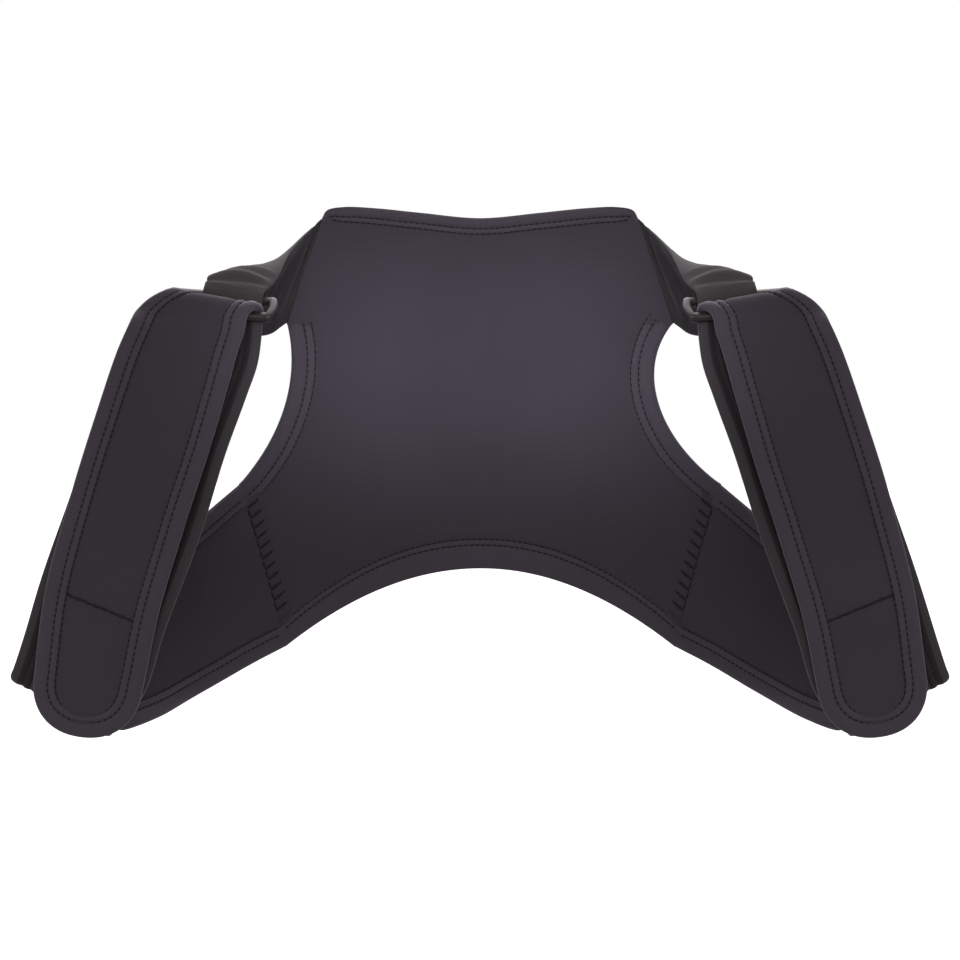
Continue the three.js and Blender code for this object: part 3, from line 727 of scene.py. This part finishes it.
for side, sign in SIDES.items():
    share = np.linspace(0, 1, 70)
    hole = armhole(side, share)
    inward = unit(blend(left_turn(hole), seam_down, ((1 - share) ** LATE_TURN)[:, None]))
    hole_width = np.full(len(hole), HEM["armhole"][0])
    from_tab = lengths(hole)[-1] - lengths(hole)
    bind_panel("armhole_binding_" + side, hole * (sign, 1), inward * (sign, 1), hole_width,
               "armhole", "binding_armhole_" + side, 1, plumped(from_tab, ARMHOLE_PLUMPS))
print("panel bindings:", [strip.name for strip in panel_strips])

# %% [markdown]
# ## Rings
#
# Each ring is a rounded rectangle with two long bars: the tab loops round the upper one, the strap goes over
# the lower. Its frame is three directions, along the bars, from bar to bar and out of its plane, and the tab
# and strap use the same frame. The ring itself is a squarish oval section carried round the rectangle, a
# little thicker at the ends.

# %% Ring frame and ring
RING_CENTRE = np.array([138.5, -25.0, -16.5])
RING_LONG = unit(np.array([0.985, 0.08, 0.1]))
RING_DOWN = np.array([0.0, -0.8, -0.6])
RING_DOWN = unit(RING_DOWN - RING_LONG * (RING_DOWN @ RING_LONG))
RING_FRONT = np.cross(RING_DOWN, RING_LONG)
RING = {"opening": 52.0, "bars": 15.5, "bar": 4.6, "corner": 4.7}
RING_SECTION = {"square": 0.55, "flat": 0.94, "end_swell": 0.2}
PATH_REACH, CORNER_PACE = 1.6, 0.7  # spread the path's points evenly over the bars and the corners


def ring_point(along, down, front):
    """A point of the ring's frame; the three distances may be arrays."""
    along, down, front = (np.asarray(v, float)[..., None] for v in (along, down, front))
    return RING_CENTRE + along * RING_LONG + down * RING_DOWN + front * RING_FRONT


def make_ring(side, sign, steps=240, around=20):
    """The path is a rectangle with round corners; the section is an oval in the plane of the path's own
    normal and the ring's front."""
    radius = RING["corner"]
    inner_long = RING["opening"] / 2 + RING["bar"] / 2 - radius
    inner_down = RING["bars"] / 2 - radius
    angle = np.linspace(0, 2 * np.pi, steps, endpoint=False)
    c, s = np.cos(angle), np.sin(angle)
    corner = np.arctan2(signed_power(s, CORNER_PACE), signed_power(c, CORNER_PACE))
    path = np.stack([np.clip(c * PATH_REACH, -1, 1) * inner_long + radius * np.cos(corner),
                     np.clip(s * PATH_REACH, -1, 1) * inner_down + radius * np.sin(corner)], -1)
    out = -left_turn(np.concatenate([path[-1:], path, path[:1]]))[1:-1]
    turn = np.linspace(0, 2 * np.pi, around, endpoint=False)
    swell = 1 + RING_SECTION["end_swell"] * smooth_step((np.abs(path[:, 0]) - inner_long) / radius)
    thick = RING["bar"] / 2 * swell[:, None]
    sideways = thick * signed_power(np.cos(turn), RING_SECTION["square"])
    front = thick * signed_power(np.sin(turn), RING_SECTION["square"]) * RING_SECTION["flat"]
    flat_points = path[:, None] + out[:, None] * sideways[..., None]
    points = ring_point(flat_points[..., 0], flat_points[..., 1], front) * (sign, 1, 1)
    made = swept("ring_" + side + "_moulded", points, [ring_plastic], ring=True)
    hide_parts("ring_" + side)
    return made


rings = [make_ring(side, sign) for side, sign in SIDES.items()]
print("ring size", [round(v / MM) for v in rings[0].dimensions])

# %% [markdown]
# ## Shoulder tabs
#
# A tab leaves the shoulder line upright, twists as it goes over the shoulder until it lies flat, and loops
# round the ring's upper bar. Its table has the neck edge, the arm edge and the height of the bulge between
# them. Pulled towards the ring, the cloth gathers in soft pleats beside the bar, and a fold stands near the
# panel.

# %% Tab table and sections
#            neck edge            arm edge          bulge
TAB_ROWS = [
    ((94.5, 70, 28), (114.5, 62.5, -30), 0.5),
    ((98.5, 61, 23.5), (118.5, 55, -33), 1.5),
    ((102.5, 47, 18), (125, 43, -34), 3),
    ((105.5, 29, 12.5), (132, 31, -32), 6),
    ((107, 12, 6.5), (142, 16, -23.5), 9),
    ((108.5, 0, 1), (144.5, 3, -11), 8),
    ((111, -10.5, -5), (146, -9.5, -3.5), 5.5),
]
TAB_GAP, TAB_HALF = 0.3, 1.5  # gap at the panel, and half the cloth's thickness
TAB_AT_RING = (-22.0, 10.5)  # the tab's two edges along the bar
TAB_LOOP = RING["bar"] / 2 + 1 + TAB_HALF  # the cloth's middle goes round the bar with 1 mm to spare
TAB_RETURN = [(1, 6.5), (3, 3.8)]  # sections before the bar, and how far below each the end comes back


def tab_controls(share):
    """Sections of the tab at every column: straight from neck to arm, raised by the bulge, then round the bar
    and back under itself."""
    line = unit(SHOULDER_LOW - SHOULDER_TOP)
    away = np.array([-line[1], line[0]]) * TAB_GAP
    start = panel_point(np.stack([SHOULDER_TOP, SHOULDER_LOW]) + away)
    at_bar = blend(*TAB_AT_RING, share)
    loop_point = lambda angle: ring_point(at_bar, TAB_LOOP * np.cos(angle) - RING["bars"] / 2,
                                          TAB_LOOP * np.sin(angle))
    neck = np.array([start[0]] + [r[0] for r in TAB_ROWS], float)
    arm = np.array([start[1]] + [r[1] for r in TAB_ROWS], float)
    bulge = np.array([0] + [r[2] for r in TAB_ROWS] + [0], float)
    straight = blend(neck[:, None], arm[:, None], share[None, :, None])
    straight = np.concatenate([straight, loop_point(np.pi / 2)[None]])
    over = straight + normals_of(straight) * (bulge[:, None] * 4 * share * (1 - share))[..., None]
    normal = normals_of(over)
    loop = np.stack([loop_point(np.pi * (0.5 - k / 6)) for k in range(1, 7)])
    under = np.stack([over[-1 - back] - normal[-1 - back] * apart for back, apart in TAB_RETURN])
    return np.concatenate([over, loop, under]), len(over)


print("tab sections:", len(TAB_ROWS))

# %% Tab cloth with its pleats
TAB_COLUMNS, TAB_SPACING = 41, 1.6
TAB_PLEATS = [  # distance before the ring, height, width, and how much it slants across
    (2.5, 0.7, 2.0, 0.5),
    (7.0, -1.1, 1.7, 1.0),
    (11.5, 1.2, 2.6, 2.5),
    (16.0, -0.6, 1.8, -2.0),
    (20.0, 0.9, 3.0, -4.0),
]
PLEAT_WANDER = 1.2
TAB_FOLDS = [  # distance from the seam, height, width: a valley, the fold towards the front, a valley
    (4.0, 0.5, 3.0),
    (13.0, -1.7, 4.0),
    (23.0, 0.9, 4.5),
]
FOLD_SLANT = 5
SEWN_END = (0.25, 1.5)  # how much thinner the tab is at the panel, and over what length
TAB_EDGE = {"least": 0.12, "power": 18}  # thickness left at the edge, and how late it rounds off


def span(edges):
    """Distance between the two edges of each section."""
    return np.linalg.norm(edges[:, 1] - edges[:, 0], axis=-1)


def cloth_uv(share, width, run):
    """Flat cloth coordinates: across from the middle line, and along."""
    return np.stack([(share - 0.5) * width[:, None], run[:, None] + 0 * share], -1)


def tab_surface():
    """The tab's middle surface with pleats near the ring and the fold near the panel. Columns lie closer
    together near the two edges."""
    share = 0.5 - 0.5 * np.cos(np.pi * np.linspace(0, 1, TAB_COLUMNS))
    controls, over = tab_controls(share)
    steps = steps_for(controls[:, TAB_COLUMNS // 2], TAB_SPACING)
    grid = through(controls, steps)
    normal = normals_of(grid)
    run = lengths(grid[:, TAB_COLUMNS // 2])
    before = run[np.sum(steps[:over - 1])] - run[:, None]
    height = np.zeros(grid.shape[:2])
    off_neck = smooth_step(4 * share + 0.2)  # pleats fade towards the neck edge
    for place, tall, wide, slant in TAB_PLEATS:
        drift = place + slant * (share - 0.5) + PLEAT_WANDER * np.sin(5 * share + place)
        height += tall * bell((before - drift) / wide) * off_neck
    upper = smooth_step(share / 0.3) * (1 - smooth_step((share - 0.5) / 0.4))  # folds, away from both edges
    for place, tall, wide in TAB_FOLDS:
        height += tall * upper * bell((run[:, None] - place - FOLD_SLANT * share) / wide)
    return grid + normal * height[..., None], normal, share, run


def make_tab(side, sign):
    """Cloth of even thickness about the middle surface, with rounded edges."""
    grid, normal, share, run = tab_surface()
    rounded = (1 - np.abs(2 * share - 1) ** TAB_EDGE["power"]) ** 0.5
    round_off = np.maximum(TAB_EDGE["least"], rounded)
    thin = 1 - SEWN_END[0] * bell(run / SEWN_END[1])
    half = (TAB_HALF * round_off)[None, :, None] * thin[:, None, None]
    width = span(grid[:, [0, -1]])
    uv = cloth_uv(share, width, run)
    flip = (sign, 1, 1)
    # the tab's skin side is painted darker, as shade
    made = closed_sheet("shoulder_tab_" + side + "_cloth", (grid - normal * half) * flip,
                        (grid + normal * half) * flip, [cloths["painted_shade_tab_cloth"], cloths["outer_loop_cloth"]], uv)
    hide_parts("shoulder_tab_" + side)
    print(made.name, "widest", round(width.max()), "mm, long", round(run[-1]), "mm")
    return made


tabs = [make_tab(side, sign) for side, sign in SIDES.items()]

# %% [markdown]
# ## Straps
#
# A strap is one long piece. Its sections go from the wing seam forward, round a flat crease at the bottom, up
# to the ring, over the ring's lower bar and down in front to a rounded end. Each section is a straight line
# from the arm edge to the body edge, so the whole strap is a ruled surface and every binding can follow its
# edges. At the seam the wing overlaps the panel by a hair, so that no light comes through.

# %% Strap table
#          arm edge            body edge
WING = np.array([
    ((154, 43, -133), (128, 46, -219)),
    ((174, 22, -150), (154, 22, -231.8)),
    ((198, -8, -169), (173, -10, -240)),
    ((221, -30, -188), (184.5, -34, -242.3)),
    ((237, -38.5, -202), (189.5, -43.5, -242)),
])
CREASE_AXIS, CREASE_RADIUS = np.array([(247, -43.5, -209.5), (193, -53, -239.5)]), 4.2
CLIMB = np.array([
    ((242.5, -47, -194), (178, -57, -223)),
    ((235, -43, -168), (166, -52, -187)),
    ((219, -36, -120), (149, -46, -141)),
    ((204, -31, -77), (135, -40, -96)),
    ((193, -27, -47), (124, -36, -65)),
    ((180, -25, -33), (118, -33, -47)),
])
STRAP_AT_RING = (25.0, -25.0)
RING_TURN = RING["bar"] / 2 + 0.7 + 2.65  # half the bar, room, and half the bound strap
#     over the ring: rise and flare of the arm edge, and how far the body edge is drawn in
RING_SPREAD = np.array([
    (0, 0, 1.5), (1.2, 0, 1.5), (3.2, 1, 2), (3.4, 4, 3.5), (0.6, 12, 6), (-2.9, 17.5, 8)])
FRONT = np.array([
    ((185.5, -38.8, -26.5), (124.5, -40.3, -30.5)),
    ((190.5, -39.2, -37.5), (128, -43, -41.5)),
    ((197, -40, -55), (133, -45.3, -60)),
    ((209.5, -42, -93), (144, -48, -97)),
    ((220.5, -45, -130), (156.5, -51.5, -136)),
    ((230.5, -51, -172), (169, -58, -179)),
    ((235, -56.5, -211), (177, -63.5, -218)),
])
END_LENGTH, END_POWER = 29.0, 2.2
SEAM_OVERLAP = 0.15
STRAP_SPACING, SEAM_ROWS = 3.0, 24  # way between rows, and more of them where the cloth dips at the seam
TURN_STEPS = 5


def half_turn(axis, radius, first, outermost):
    """Sections carried half a turn about an axis: cosine of the angle one way, sine the other."""
    angle = np.linspace(0, np.pi, TURN_STEPS + 1)[:, None, None]
    return axis[None] + radius * (np.cos(angle) * first + np.sin(angle) * outermost)


def strap_sections():
    """All sections in order, as (section, edge, xyz)."""
    seam = panel_point(np.stack([SEAM_TOP, SEAM_LOW]) + seam_inward * SEAM_OVERLAP)[None]
    along_crease = unit(CREASE_AXIS[0] - CREASE_AXIS[1])
    back = unit(np.array([0, 1, 0]) - along_crease * along_crease[1])
    crease = half_turn(CREASE_AXIS, CREASE_RADIUS, back, np.cross(back, along_crease))
    bar = ring_point(STRAP_AT_RING, RING["bars"] / 2, 0)
    bar_back = unit(np.array([0, 1, 0]) - RING_LONG * RING_LONG[1])
    bar_up = np.cross(RING_LONG, bar_back)
    over_bar = half_turn(bar, RING_TURN, bar_back, bar_up)
    rise, flare, drawn = RING_SPREAD.T[..., None]
    over_bar[:, 0] += rise * bar_up + flare * RING_LONG
    over_bar[:, 1] += drawn * RING_LONG
    return np.concatenate([seam, WING, crease, CLIMB, over_bar, FRONT])


sections = strap_sections()
strap_steps = np.maximum(*(steps_for(sections[:, edge], STRAP_SPACING) for edge in (0, 1)))
strap_steps[0] = SEAM_ROWS
edges = through(sections, strap_steps)
strap_run = lengths(edges.mean(axis=1))
print("strap length", round(strap_run[-1] + END_LENGTH), "mm in", len(edges), "rows")

# %% [markdown]
# Cloth that has been worn isn't a perfect band, so both edges sway by less than a millimetre along the strap,
# each in its own rhythm, and not at all where the strap is held: at the seam, in the crease and at the ring.

# %% Sway and the strap's surface
crease_row = int(np.sum(strap_steps[:1 + len(WING) + TURN_STEPS // 2]))
ring_row = int(np.sum(strap_steps[:1 + len(WING) + TURN_STEPS + 1 + len(CLIMB)]))
HELD_REACH = 28
SLOW_SWAY, QUICK_SWAY = (0.55, 21), (0.35, 9.3)  # height and length of each wave
EDGE_SHIFT = np.array([0.0, 37.0])  # the two edges' waves start at different places
SIDE_SHIFT = {"right": 0.0, "left": 63.0}  # and so do the two straps'
END_ROWS = 22


def strap_frame(edges, run):
    """Slope along the strap crossed with the way across gives each edge's normal."""
    along = np.gradient(edges, run, axis=0)
    across = edges[:, 1:] - edges[:, :1]
    return unit(np.cross(along, across))


def swayed(edges, run, shift):
    """Each edge moved along its normal by two slow sines, faded out at the held places."""
    held = sum(bell((run - run[k]) / HELD_REACH) for k in (0, crease_row, ring_row))
    free = np.clip(1 - held, 0, 1)[:, None]
    s = run[:, None] + EDGE_SHIFT + shift
    wave = SLOW_SWAY[0] * np.sin(s / SLOW_SWAY[1]) + QUICK_SWAY[0] * np.sin(s / QUICK_SWAY[1] + 1.1)
    return edges + strap_frame(edges, run) * (wave * free)[..., None]


def strap_end(edges):
    """The plane of the rounded end: middle of the last section, the ways across and along, half its width."""
    last, before = edges[-1], edges[-4]
    across = unit(last[1] - last[0])
    along = last.mean(0) - before.mean(0)
    along = unit(along - across * (along @ across))
    return last.mean(0), across, along, np.linalg.norm(last[1] - last[0]) / 2


def strap_core(edges, inset):
    """The two edges of the strap's cloth inside its bindings, rounded end included, whose half width at a
    share of its length is that of a superellipse."""
    way = unit(edges[:, 1] - edges[:, 0])
    body = np.stack([edges[:, 0] + way * inset, edges[:, 1] - way * inset], 1)
    centre, across, along, half = strap_end(edges)
    share = np.sin(np.linspace(0, 0.985, END_ROWS)[1:] * np.pi / 2)
    width = (half - inset) * (np.maximum(0, 1 - share**END_POWER) ** (1 / END_POWER))[:, None]
    middle = centre + along * (share * (END_LENGTH - inset))[:, None]
    return np.concatenate([body, np.stack([middle - across * width, middle + across * width], 1)])


side_edges = {side: swayed(edges, strap_run, SIDE_SHIFT[side]) for side in SIDES}
print("ring at row", ring_row, "crease at row", crease_row)

# %% [markdown]
# The cloth between the bindings is squeezed at its borders and plump in the middle. On the front of the free
# end a line of stitches holds the hook patch underneath, and it presses a narrow groove into the neoprene. At
# the wing seam the cloth dips towards the stitches.

# %% Strap cloth
STRAP_COLUMNS = 61
STRAP_PLUMP = (0.3, 6)  # how much thicker the middle is, and the way in over which it rises
PATCH_LINE = {"from_end": 39.5, "slant": 15.0, "ends": (0.16, 0.84)}  # above the last section, slope, shares
GROOVE = (1.1, 1.2)  # depth and half width
PATCH_STITCH = {"pitch": 5.0, "length": 5.3, "radius": 0.75}
PATCH_STITCH_LIFT = 0.15


def strap_half(edges, run, share):
    """Half thickness of the cloth at each point: by distance from the nearer edge and from the seam."""
    clear = np.minimum(share, 1 - share) * span(edges)[:, None] - (HEM["strap"][0] - CHANNEL["depth"])
    plump = STRAP_PLUMP[0] * (1 - (2 * share - 1) ** 2) * smooth_step(clear / STRAP_PLUMP[1])
    return cloth_half(clear) + plump - seam_dip(run[:, None]) * smooth_step(clear / 2)


def patch_line_at(share):
    """Place of the patch's line along the strap at a share across it."""
    return strap_run[-1] - PATCH_LINE["from_end"] + PATCH_LINE["slant"] * (share - 0.5)


def patch_stitches(surface, normal, run, share, flip):
    """Stitches in the groove: at each column the surface is read where the line crosses it, between rows."""
    inside = (share > PATCH_LINE["ends"][0]) & (share < PATCH_LINE["ends"][1])
    row = np.interp(patch_line_at(share[inside]), run, np.arange(len(run)))
    low, column = row.astype(int), np.flatnonzero(inside)
    line = blend(surface[low, column], surface[low + 1, column], (row % 1)[:, None])
    lift = -normal[low, column]
    return stitch_row((line + lift * PATCH_STITCH_LIFT) * flip, lift * flip, **PATCH_STITCH)


def make_strap(side, sign):
    """Skin face on the inner side of the normals, loop cloth on the other, and the patch's stitches."""
    core = strap_core(side_edges[side], CHANNEL["depth"])
    run = lengths(core.mean(axis=1))
    share = np.linspace(0, 1, STRAP_COLUMNS)
    grid = blend(core[:, :1], core[:, 1:], share[None, :, None])
    along = np.gradient(core, run, axis=0)
    slope = blend(along[:, :1], along[:, 1:], share[None, :, None])
    across = np.repeat(core[:, 1:] - core[:, :1], STRAP_COLUMNS, axis=1)
    across[len(edges):] = strap_end(side_edges[side])[1]
    normal = unit(np.cross(slope, across))
    half = strap_half(core, run, share)[..., None]
    groove = GROOVE[0] * bell((run[:, None] - patch_line_at(share)) / GROOVE[1])[..., None]
    surface = grid - normal * (half - groove)
    uv = cloth_uv(share, span(core), run)
    flip = (sign, 1, 1)
    made = closed_sheet("strap_" + side + "_cloth", surface * flip, (grid + normal * half) * flip,
                        [cloths["skin_side_jersey"], cloths["outer_loop_cloth"]], uv)
    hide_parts("strap_" + side)
    return made, patch_stitches(surface, normal, run, share, flip)


straps = {side: make_strap(side, sign) for side, sign in SIDES.items()}
print("strap triangles", 2 * len(straps["right"][0].data.polygons))

# %% [markdown]
# The strap's binding runs down the arm edge, round the free end and back along the body edge without a break.
# Its stations on the end follow the superellipse, whose inward direction comes from its slope. Its fold is
# painted lighter, as light falling on it beside the painted shade of its outer face.

# %% Strap bindings and their stitches
END_STATIONS = 46


def strap_stations(edges, run, width):
    """Tip, root and normals down the arm edge, round the end and back along the body edge."""
    normal = strap_frame(edges, run)
    way = unit(edges[:, 1] - edges[:, 0])
    centre, across, along, half = strap_end(edges)
    angle = np.linspace(0, np.pi, END_STATIONS)[1:-1]
    a = -half * signed_power(np.cos(angle), 2 / END_POWER)
    l = END_LENGTH * np.sin(angle) ** (2 / END_POWER)
    slope_across = signed_power(a / half, END_POWER - 1) / half
    slope_along = (l / END_LENGTH) ** (END_POWER - 1) / END_LENGTH
    inward = -unit(np.stack([slope_across, slope_along], -1))
    spot = lambda p, q: centre + p[:, None] * across + q[:, None] * along
    end_root = spot(a + inward[:, 0] * width, l + inward[:, 1] * width)
    end_normal = np.repeat(unit(np.cross(along, across))[None], len(angle), 0)
    tip = np.concatenate([edges[:, 0], spot(a, l), edges[::-1, 1]])
    root = np.concatenate([edges[:, 0] + way * width, end_root, edges[::-1, 1] - way[::-1] * width])
    share = width / span(edges)[:, None]
    arm, body = (unit(blend(normal[:, near], normal[:, 1 - near], share)) for near in (0, 1))
    tip_normal = np.concatenate([normal[:, 0], end_normal, normal[::-1, 1]])
    return tip, root, tip_normal, np.concatenate([arm, end_normal, body[::-1]])


strap_strips, strap_threads = [], []
for side, sign in SIDES.items():
    stations = strap_stations(side_edges[side], strap_run, HEM["strap"][0])
    stations = [part * (sign, 1, 1) for part in stations]
    strap_width = np.full(len(stations[0]), HEM["strap"][0])
    # the fold of the strap's binding is painted lighter, as light
    strip, rows = make_binding("strap_binding_" + side + "_strip", stations, strap_width,
                               "strap", "strap_binding_" + side, 2, fold="painted_light_binding_fold")
    strap_strips.append(strip)
    strap_threads.append(thread_object("strap_stitches_" + side, rows + [straps[side][1]]))
print("strap stitches:", [len(t.data.polygons) // STITCH_FACES for t in strap_threads])

# %% [markdown]
# ## The wing seam
#
# Wing and panel are butted together and joined by a wide zigzag that lies on the surface, where the panel
# already swells between its rungs. Each rung is one long stitch, and shorter ones follow the seam.

# %% Zigzag seam
RUNG = {"from": 0.2, "height": 1.25}
SEAM_DASH = {"beside": 0.25, "short": 0.8, "height": 1.75}


def zigzag_stitches(sign, face):
    """Rungs from the seam into the panel at a steady pitch, and between them dashes along the seam."""
    along = ZIGZAG["from"] + ZIGZAG["pitch"] * np.arange(ZIGZAG["rungs"])

    def spot(d, beside):
        down = seam_down * (d - ZIGZAG["slant"] * beside)[:, None]
        return (SEAM_TOP + down + seam_inward * beside) * (sign, 1)

    def tubes(a, b, height):
        lift = panel_normal((a + b) / 2) * face
        return stitch_tubes(panel_point(a) + lift * height, panel_point(b) + lift * height, lift,
                            ZIGZAG["thread"])

    dash, short = SEAM_DASH["beside"], SEAM_DASH["short"]
    rungs = tubes(spot(along, RUNG["from"]), spot(along, ZIGZAG["wide"]), RUNG["height"])
    dashes = tubes(spot(along[:-1] + short, dash), spot(along[1:] - short, dash), SEAM_DASH["height"])
    return [rungs, dashes]


for sign in SIDES.values():
    for face in (-1, 1):
        panel_stitches += zigzag_stitches(sign, face)
panel_thread = thread_object("panel_stitches", panel_stitches)
print("panel stitches:", len(panel_thread.data.polygons) // STITCH_FACES)

# %% [markdown]
# ## Hook patch
#
# Under the free end lies a patch of hook tape that grips the loop cloth of the layer behind. Only its edge
# shows from the side. It is a thin sheet on the back of the strap, with its hooks left to the finish.

# %% Hook patch
PATCH = {"off": 2.15, "thick": 1.8, "from": 0.25, "to": 0.75, "reach": 68.0, "beyond": 4.0}
PATCH_FLAT, PATCH_GRID = (30, 70), (24, 41)


def make_patch(side, sign):
    """A thin sheet offset from the strap's back, from some way above the last section to just beyond it."""
    columns, rows = PATCH_GRID
    along = strap_end(side_edges[side])[2]
    place = np.linspace(strap_run[-1] - PATCH["reach"] + PATCH["beyond"], strap_run[-1], rows - 1)
    at = np.stack([sample(place, strap_run, side_edges[side][:, edge]) for edge in (0, 1)], 1)
    at = np.concatenate([at, at[-1:] + along * PATCH["beyond"]])
    share = np.linspace(PATCH["from"], PATCH["to"], columns)[None, :, None]
    grid = blend(at[:, :1], at[:, 1:], share)
    normal = normals_of(grid)
    near, far = grid + normal * PATCH["off"], grid + normal * (PATCH["off"] + PATCH["thick"])
    wide, tall = (np.linspace(0, size, count) for size, count in zip(PATCH_FLAT, PATCH_GRID))
    flip = (sign, 1, 1)
    made = closed_sheet("hook_patch_" + side + "_tape", near * flip, far * flip, [cloths["hook_tape"]] * 2,
                        np.stack(np.meshgrid(wide, tall), -1))
    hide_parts("hook_patch_" + side)
    return made


patches = [make_patch(side, sign) for side, sign in SIDES.items()]
print("hook patches:", [patch.name for patch in patches])

# %% [markdown]


# %% [markdown]
# ## Studio
#
# The brace hangs in an even, very slightly tinted white surround over a pale floor, with a weak soft light in
# front. The middle of the panel is brightest, so one pool of light falls there and two more cross over to its
# sides. A small pool catches each strap's lower outer corner, and soft lights stand above and behind, which
# also show the outside of the cloth in other views.

# %% Floor and lights
FLOOR_HEIGHT, FLOOR_RINGS = -0.75, (0.001, 1.0, 3.0, 9.0)
POOL_COLOUR = (0.96, 0.95, 1.09)
MIDDLE = (0, 0, -0.1)


def make_floor():
    """A wide round floor below the brace: rings of points round one in the middle. It glows evenly and sends
    no light back to the brace."""
    angle = np.linspace(0, 2 * np.pi, 65)
    reach = np.array(FLOOR_RINGS)[:, None]
    grid = np.stack([reach * np.cos(angle), reach * np.sin(angle), FLOOR_HEIGHT + 0 * reach * angle], -1)
    mesh = bpy.data.meshes.new("floor")
    mesh.from_pydata(grid.reshape(-1, 3).tolist(), [], grid_quads(*grid.shape[:2]).tolist())
    mesh.materials.append(new_material("white_paper", Base_Color=(0.9, 0.9, 0.9, 1), Roughness=0.9,
                                       Emission_Color=(1, 1, 1, 1), Emission_Strength=0.95))
    made = bpy.data.objects.new("floor", mesh)
    made.visible_diffuse = made.visible_glossy = False
    bpy.context.collection.objects.link(made)
    made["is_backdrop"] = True


def placed_light(data, place, aim):
    """A light at a place, turned towards a point."""
    made = bpy.data.objects.new(data.name, data)
    made.location = place
    x, y, z = np.array(aim) - np.array(place)
    made.rotation_euler = (np.arctan2(np.hypot(x, y), -z), 0, np.arctan2(y, x) - np.pi / 2)
    bpy.context.collection.objects.link(made)
    return made


def soft_light(name, place, size, watts):
    """A square area light aimed at the middle of the brace."""
    data = bpy.data.lights.new(name, "AREA")
    data.shape, data.size, data.energy = "SQUARE", size, watts
    placed_light(data, place, MIDDLE)


def pool_light(name, place, aim, cone, watts, colour, wider=1.0):
    """A spot light with a fully soft rim: it lights a round or oval pool that fades outwards."""
    data = bpy.data.lights.new(name, "SPOT")
    data.spot_size, data.spot_blend, data.shadow_soft_size = np.radians(cone), 1.0, 0.05
    data.energy, data.color = watts, colour
    placed_light(data, place, aim).scale = (wider, 1, 1)


def white_world(ambient, colour):
    """White where the camera looks past the brace, and a weaker, slightly tinted white where it lights it."""
    world = bpy.data.worlds.new("studio")
    world.use_nodes = True
    tree = world.node_tree
    seen, lit = tree.nodes["Background"], tree.nodes.new("ShaderNodeBackground")
    set_inputs(seen, {"Color": (1, 1, 1, 1), "Strength": 1.0})
    set_inputs(lit, {"Color": (*colour, 1), "Strength": ambient})
    ray, choice = tree.nodes.new("ShaderNodeLightPath"), tree.nodes.new("ShaderNodeMixShader")
    tree.links.new(ray.outputs["Is Camera Ray"], choice.inputs["Fac"])
    tree.links.new(lit.outputs["Background"], choice.inputs[1])
    tree.links.new(seen.outputs["Background"], choice.inputs[2])
    tree.links.new(choice.outputs["Shader"], tree.nodes["World Output"].inputs["Surface"])
    bpy.context.scene.world = world


make_floor()
soft_light("front", (0, -1.5, 0.5), 1.0, 7.7)
pool_light("middle_pool", (0, -1.35, 0.15), (0, 0.08, -0.045), 8.0, 62, POOL_COLOUR, wider=1.5)
for side, sign in SIDES.items():
    pool_light(side + "_pool", (-sign * 0.55, -1.3, 0.15), (sign * 0.1, 0.065, -0.035), 8.5, 34, POOL_COLOUR)
    pool_light(side + "_edge", (sign * 1.2, -1.0, 0.1), (sign * 0.235, -0.045, -0.2), 6.0, 6, (1, 1, 1))
soft_light("above", (0, 0.9, 1.3), 1.0, 22)
soft_light("behind", (0, 1.7, -0.1), 1.2, 6)
white_world(0.478, (1.02, 0.95, 1.0))
bpy.context.scene.view_settings.view_transform = "Standard"
print("studio ready")

# %% [markdown]
# ## Size
#
# The box of the finished brace is shown beside the box of its solids, so that the two can be compared.

# %% Show the sizes
plain = lambda box: [[float(v) for v in corner] for corner in box]
{"cad": plain(cad_box), "visual": plain(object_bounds())}
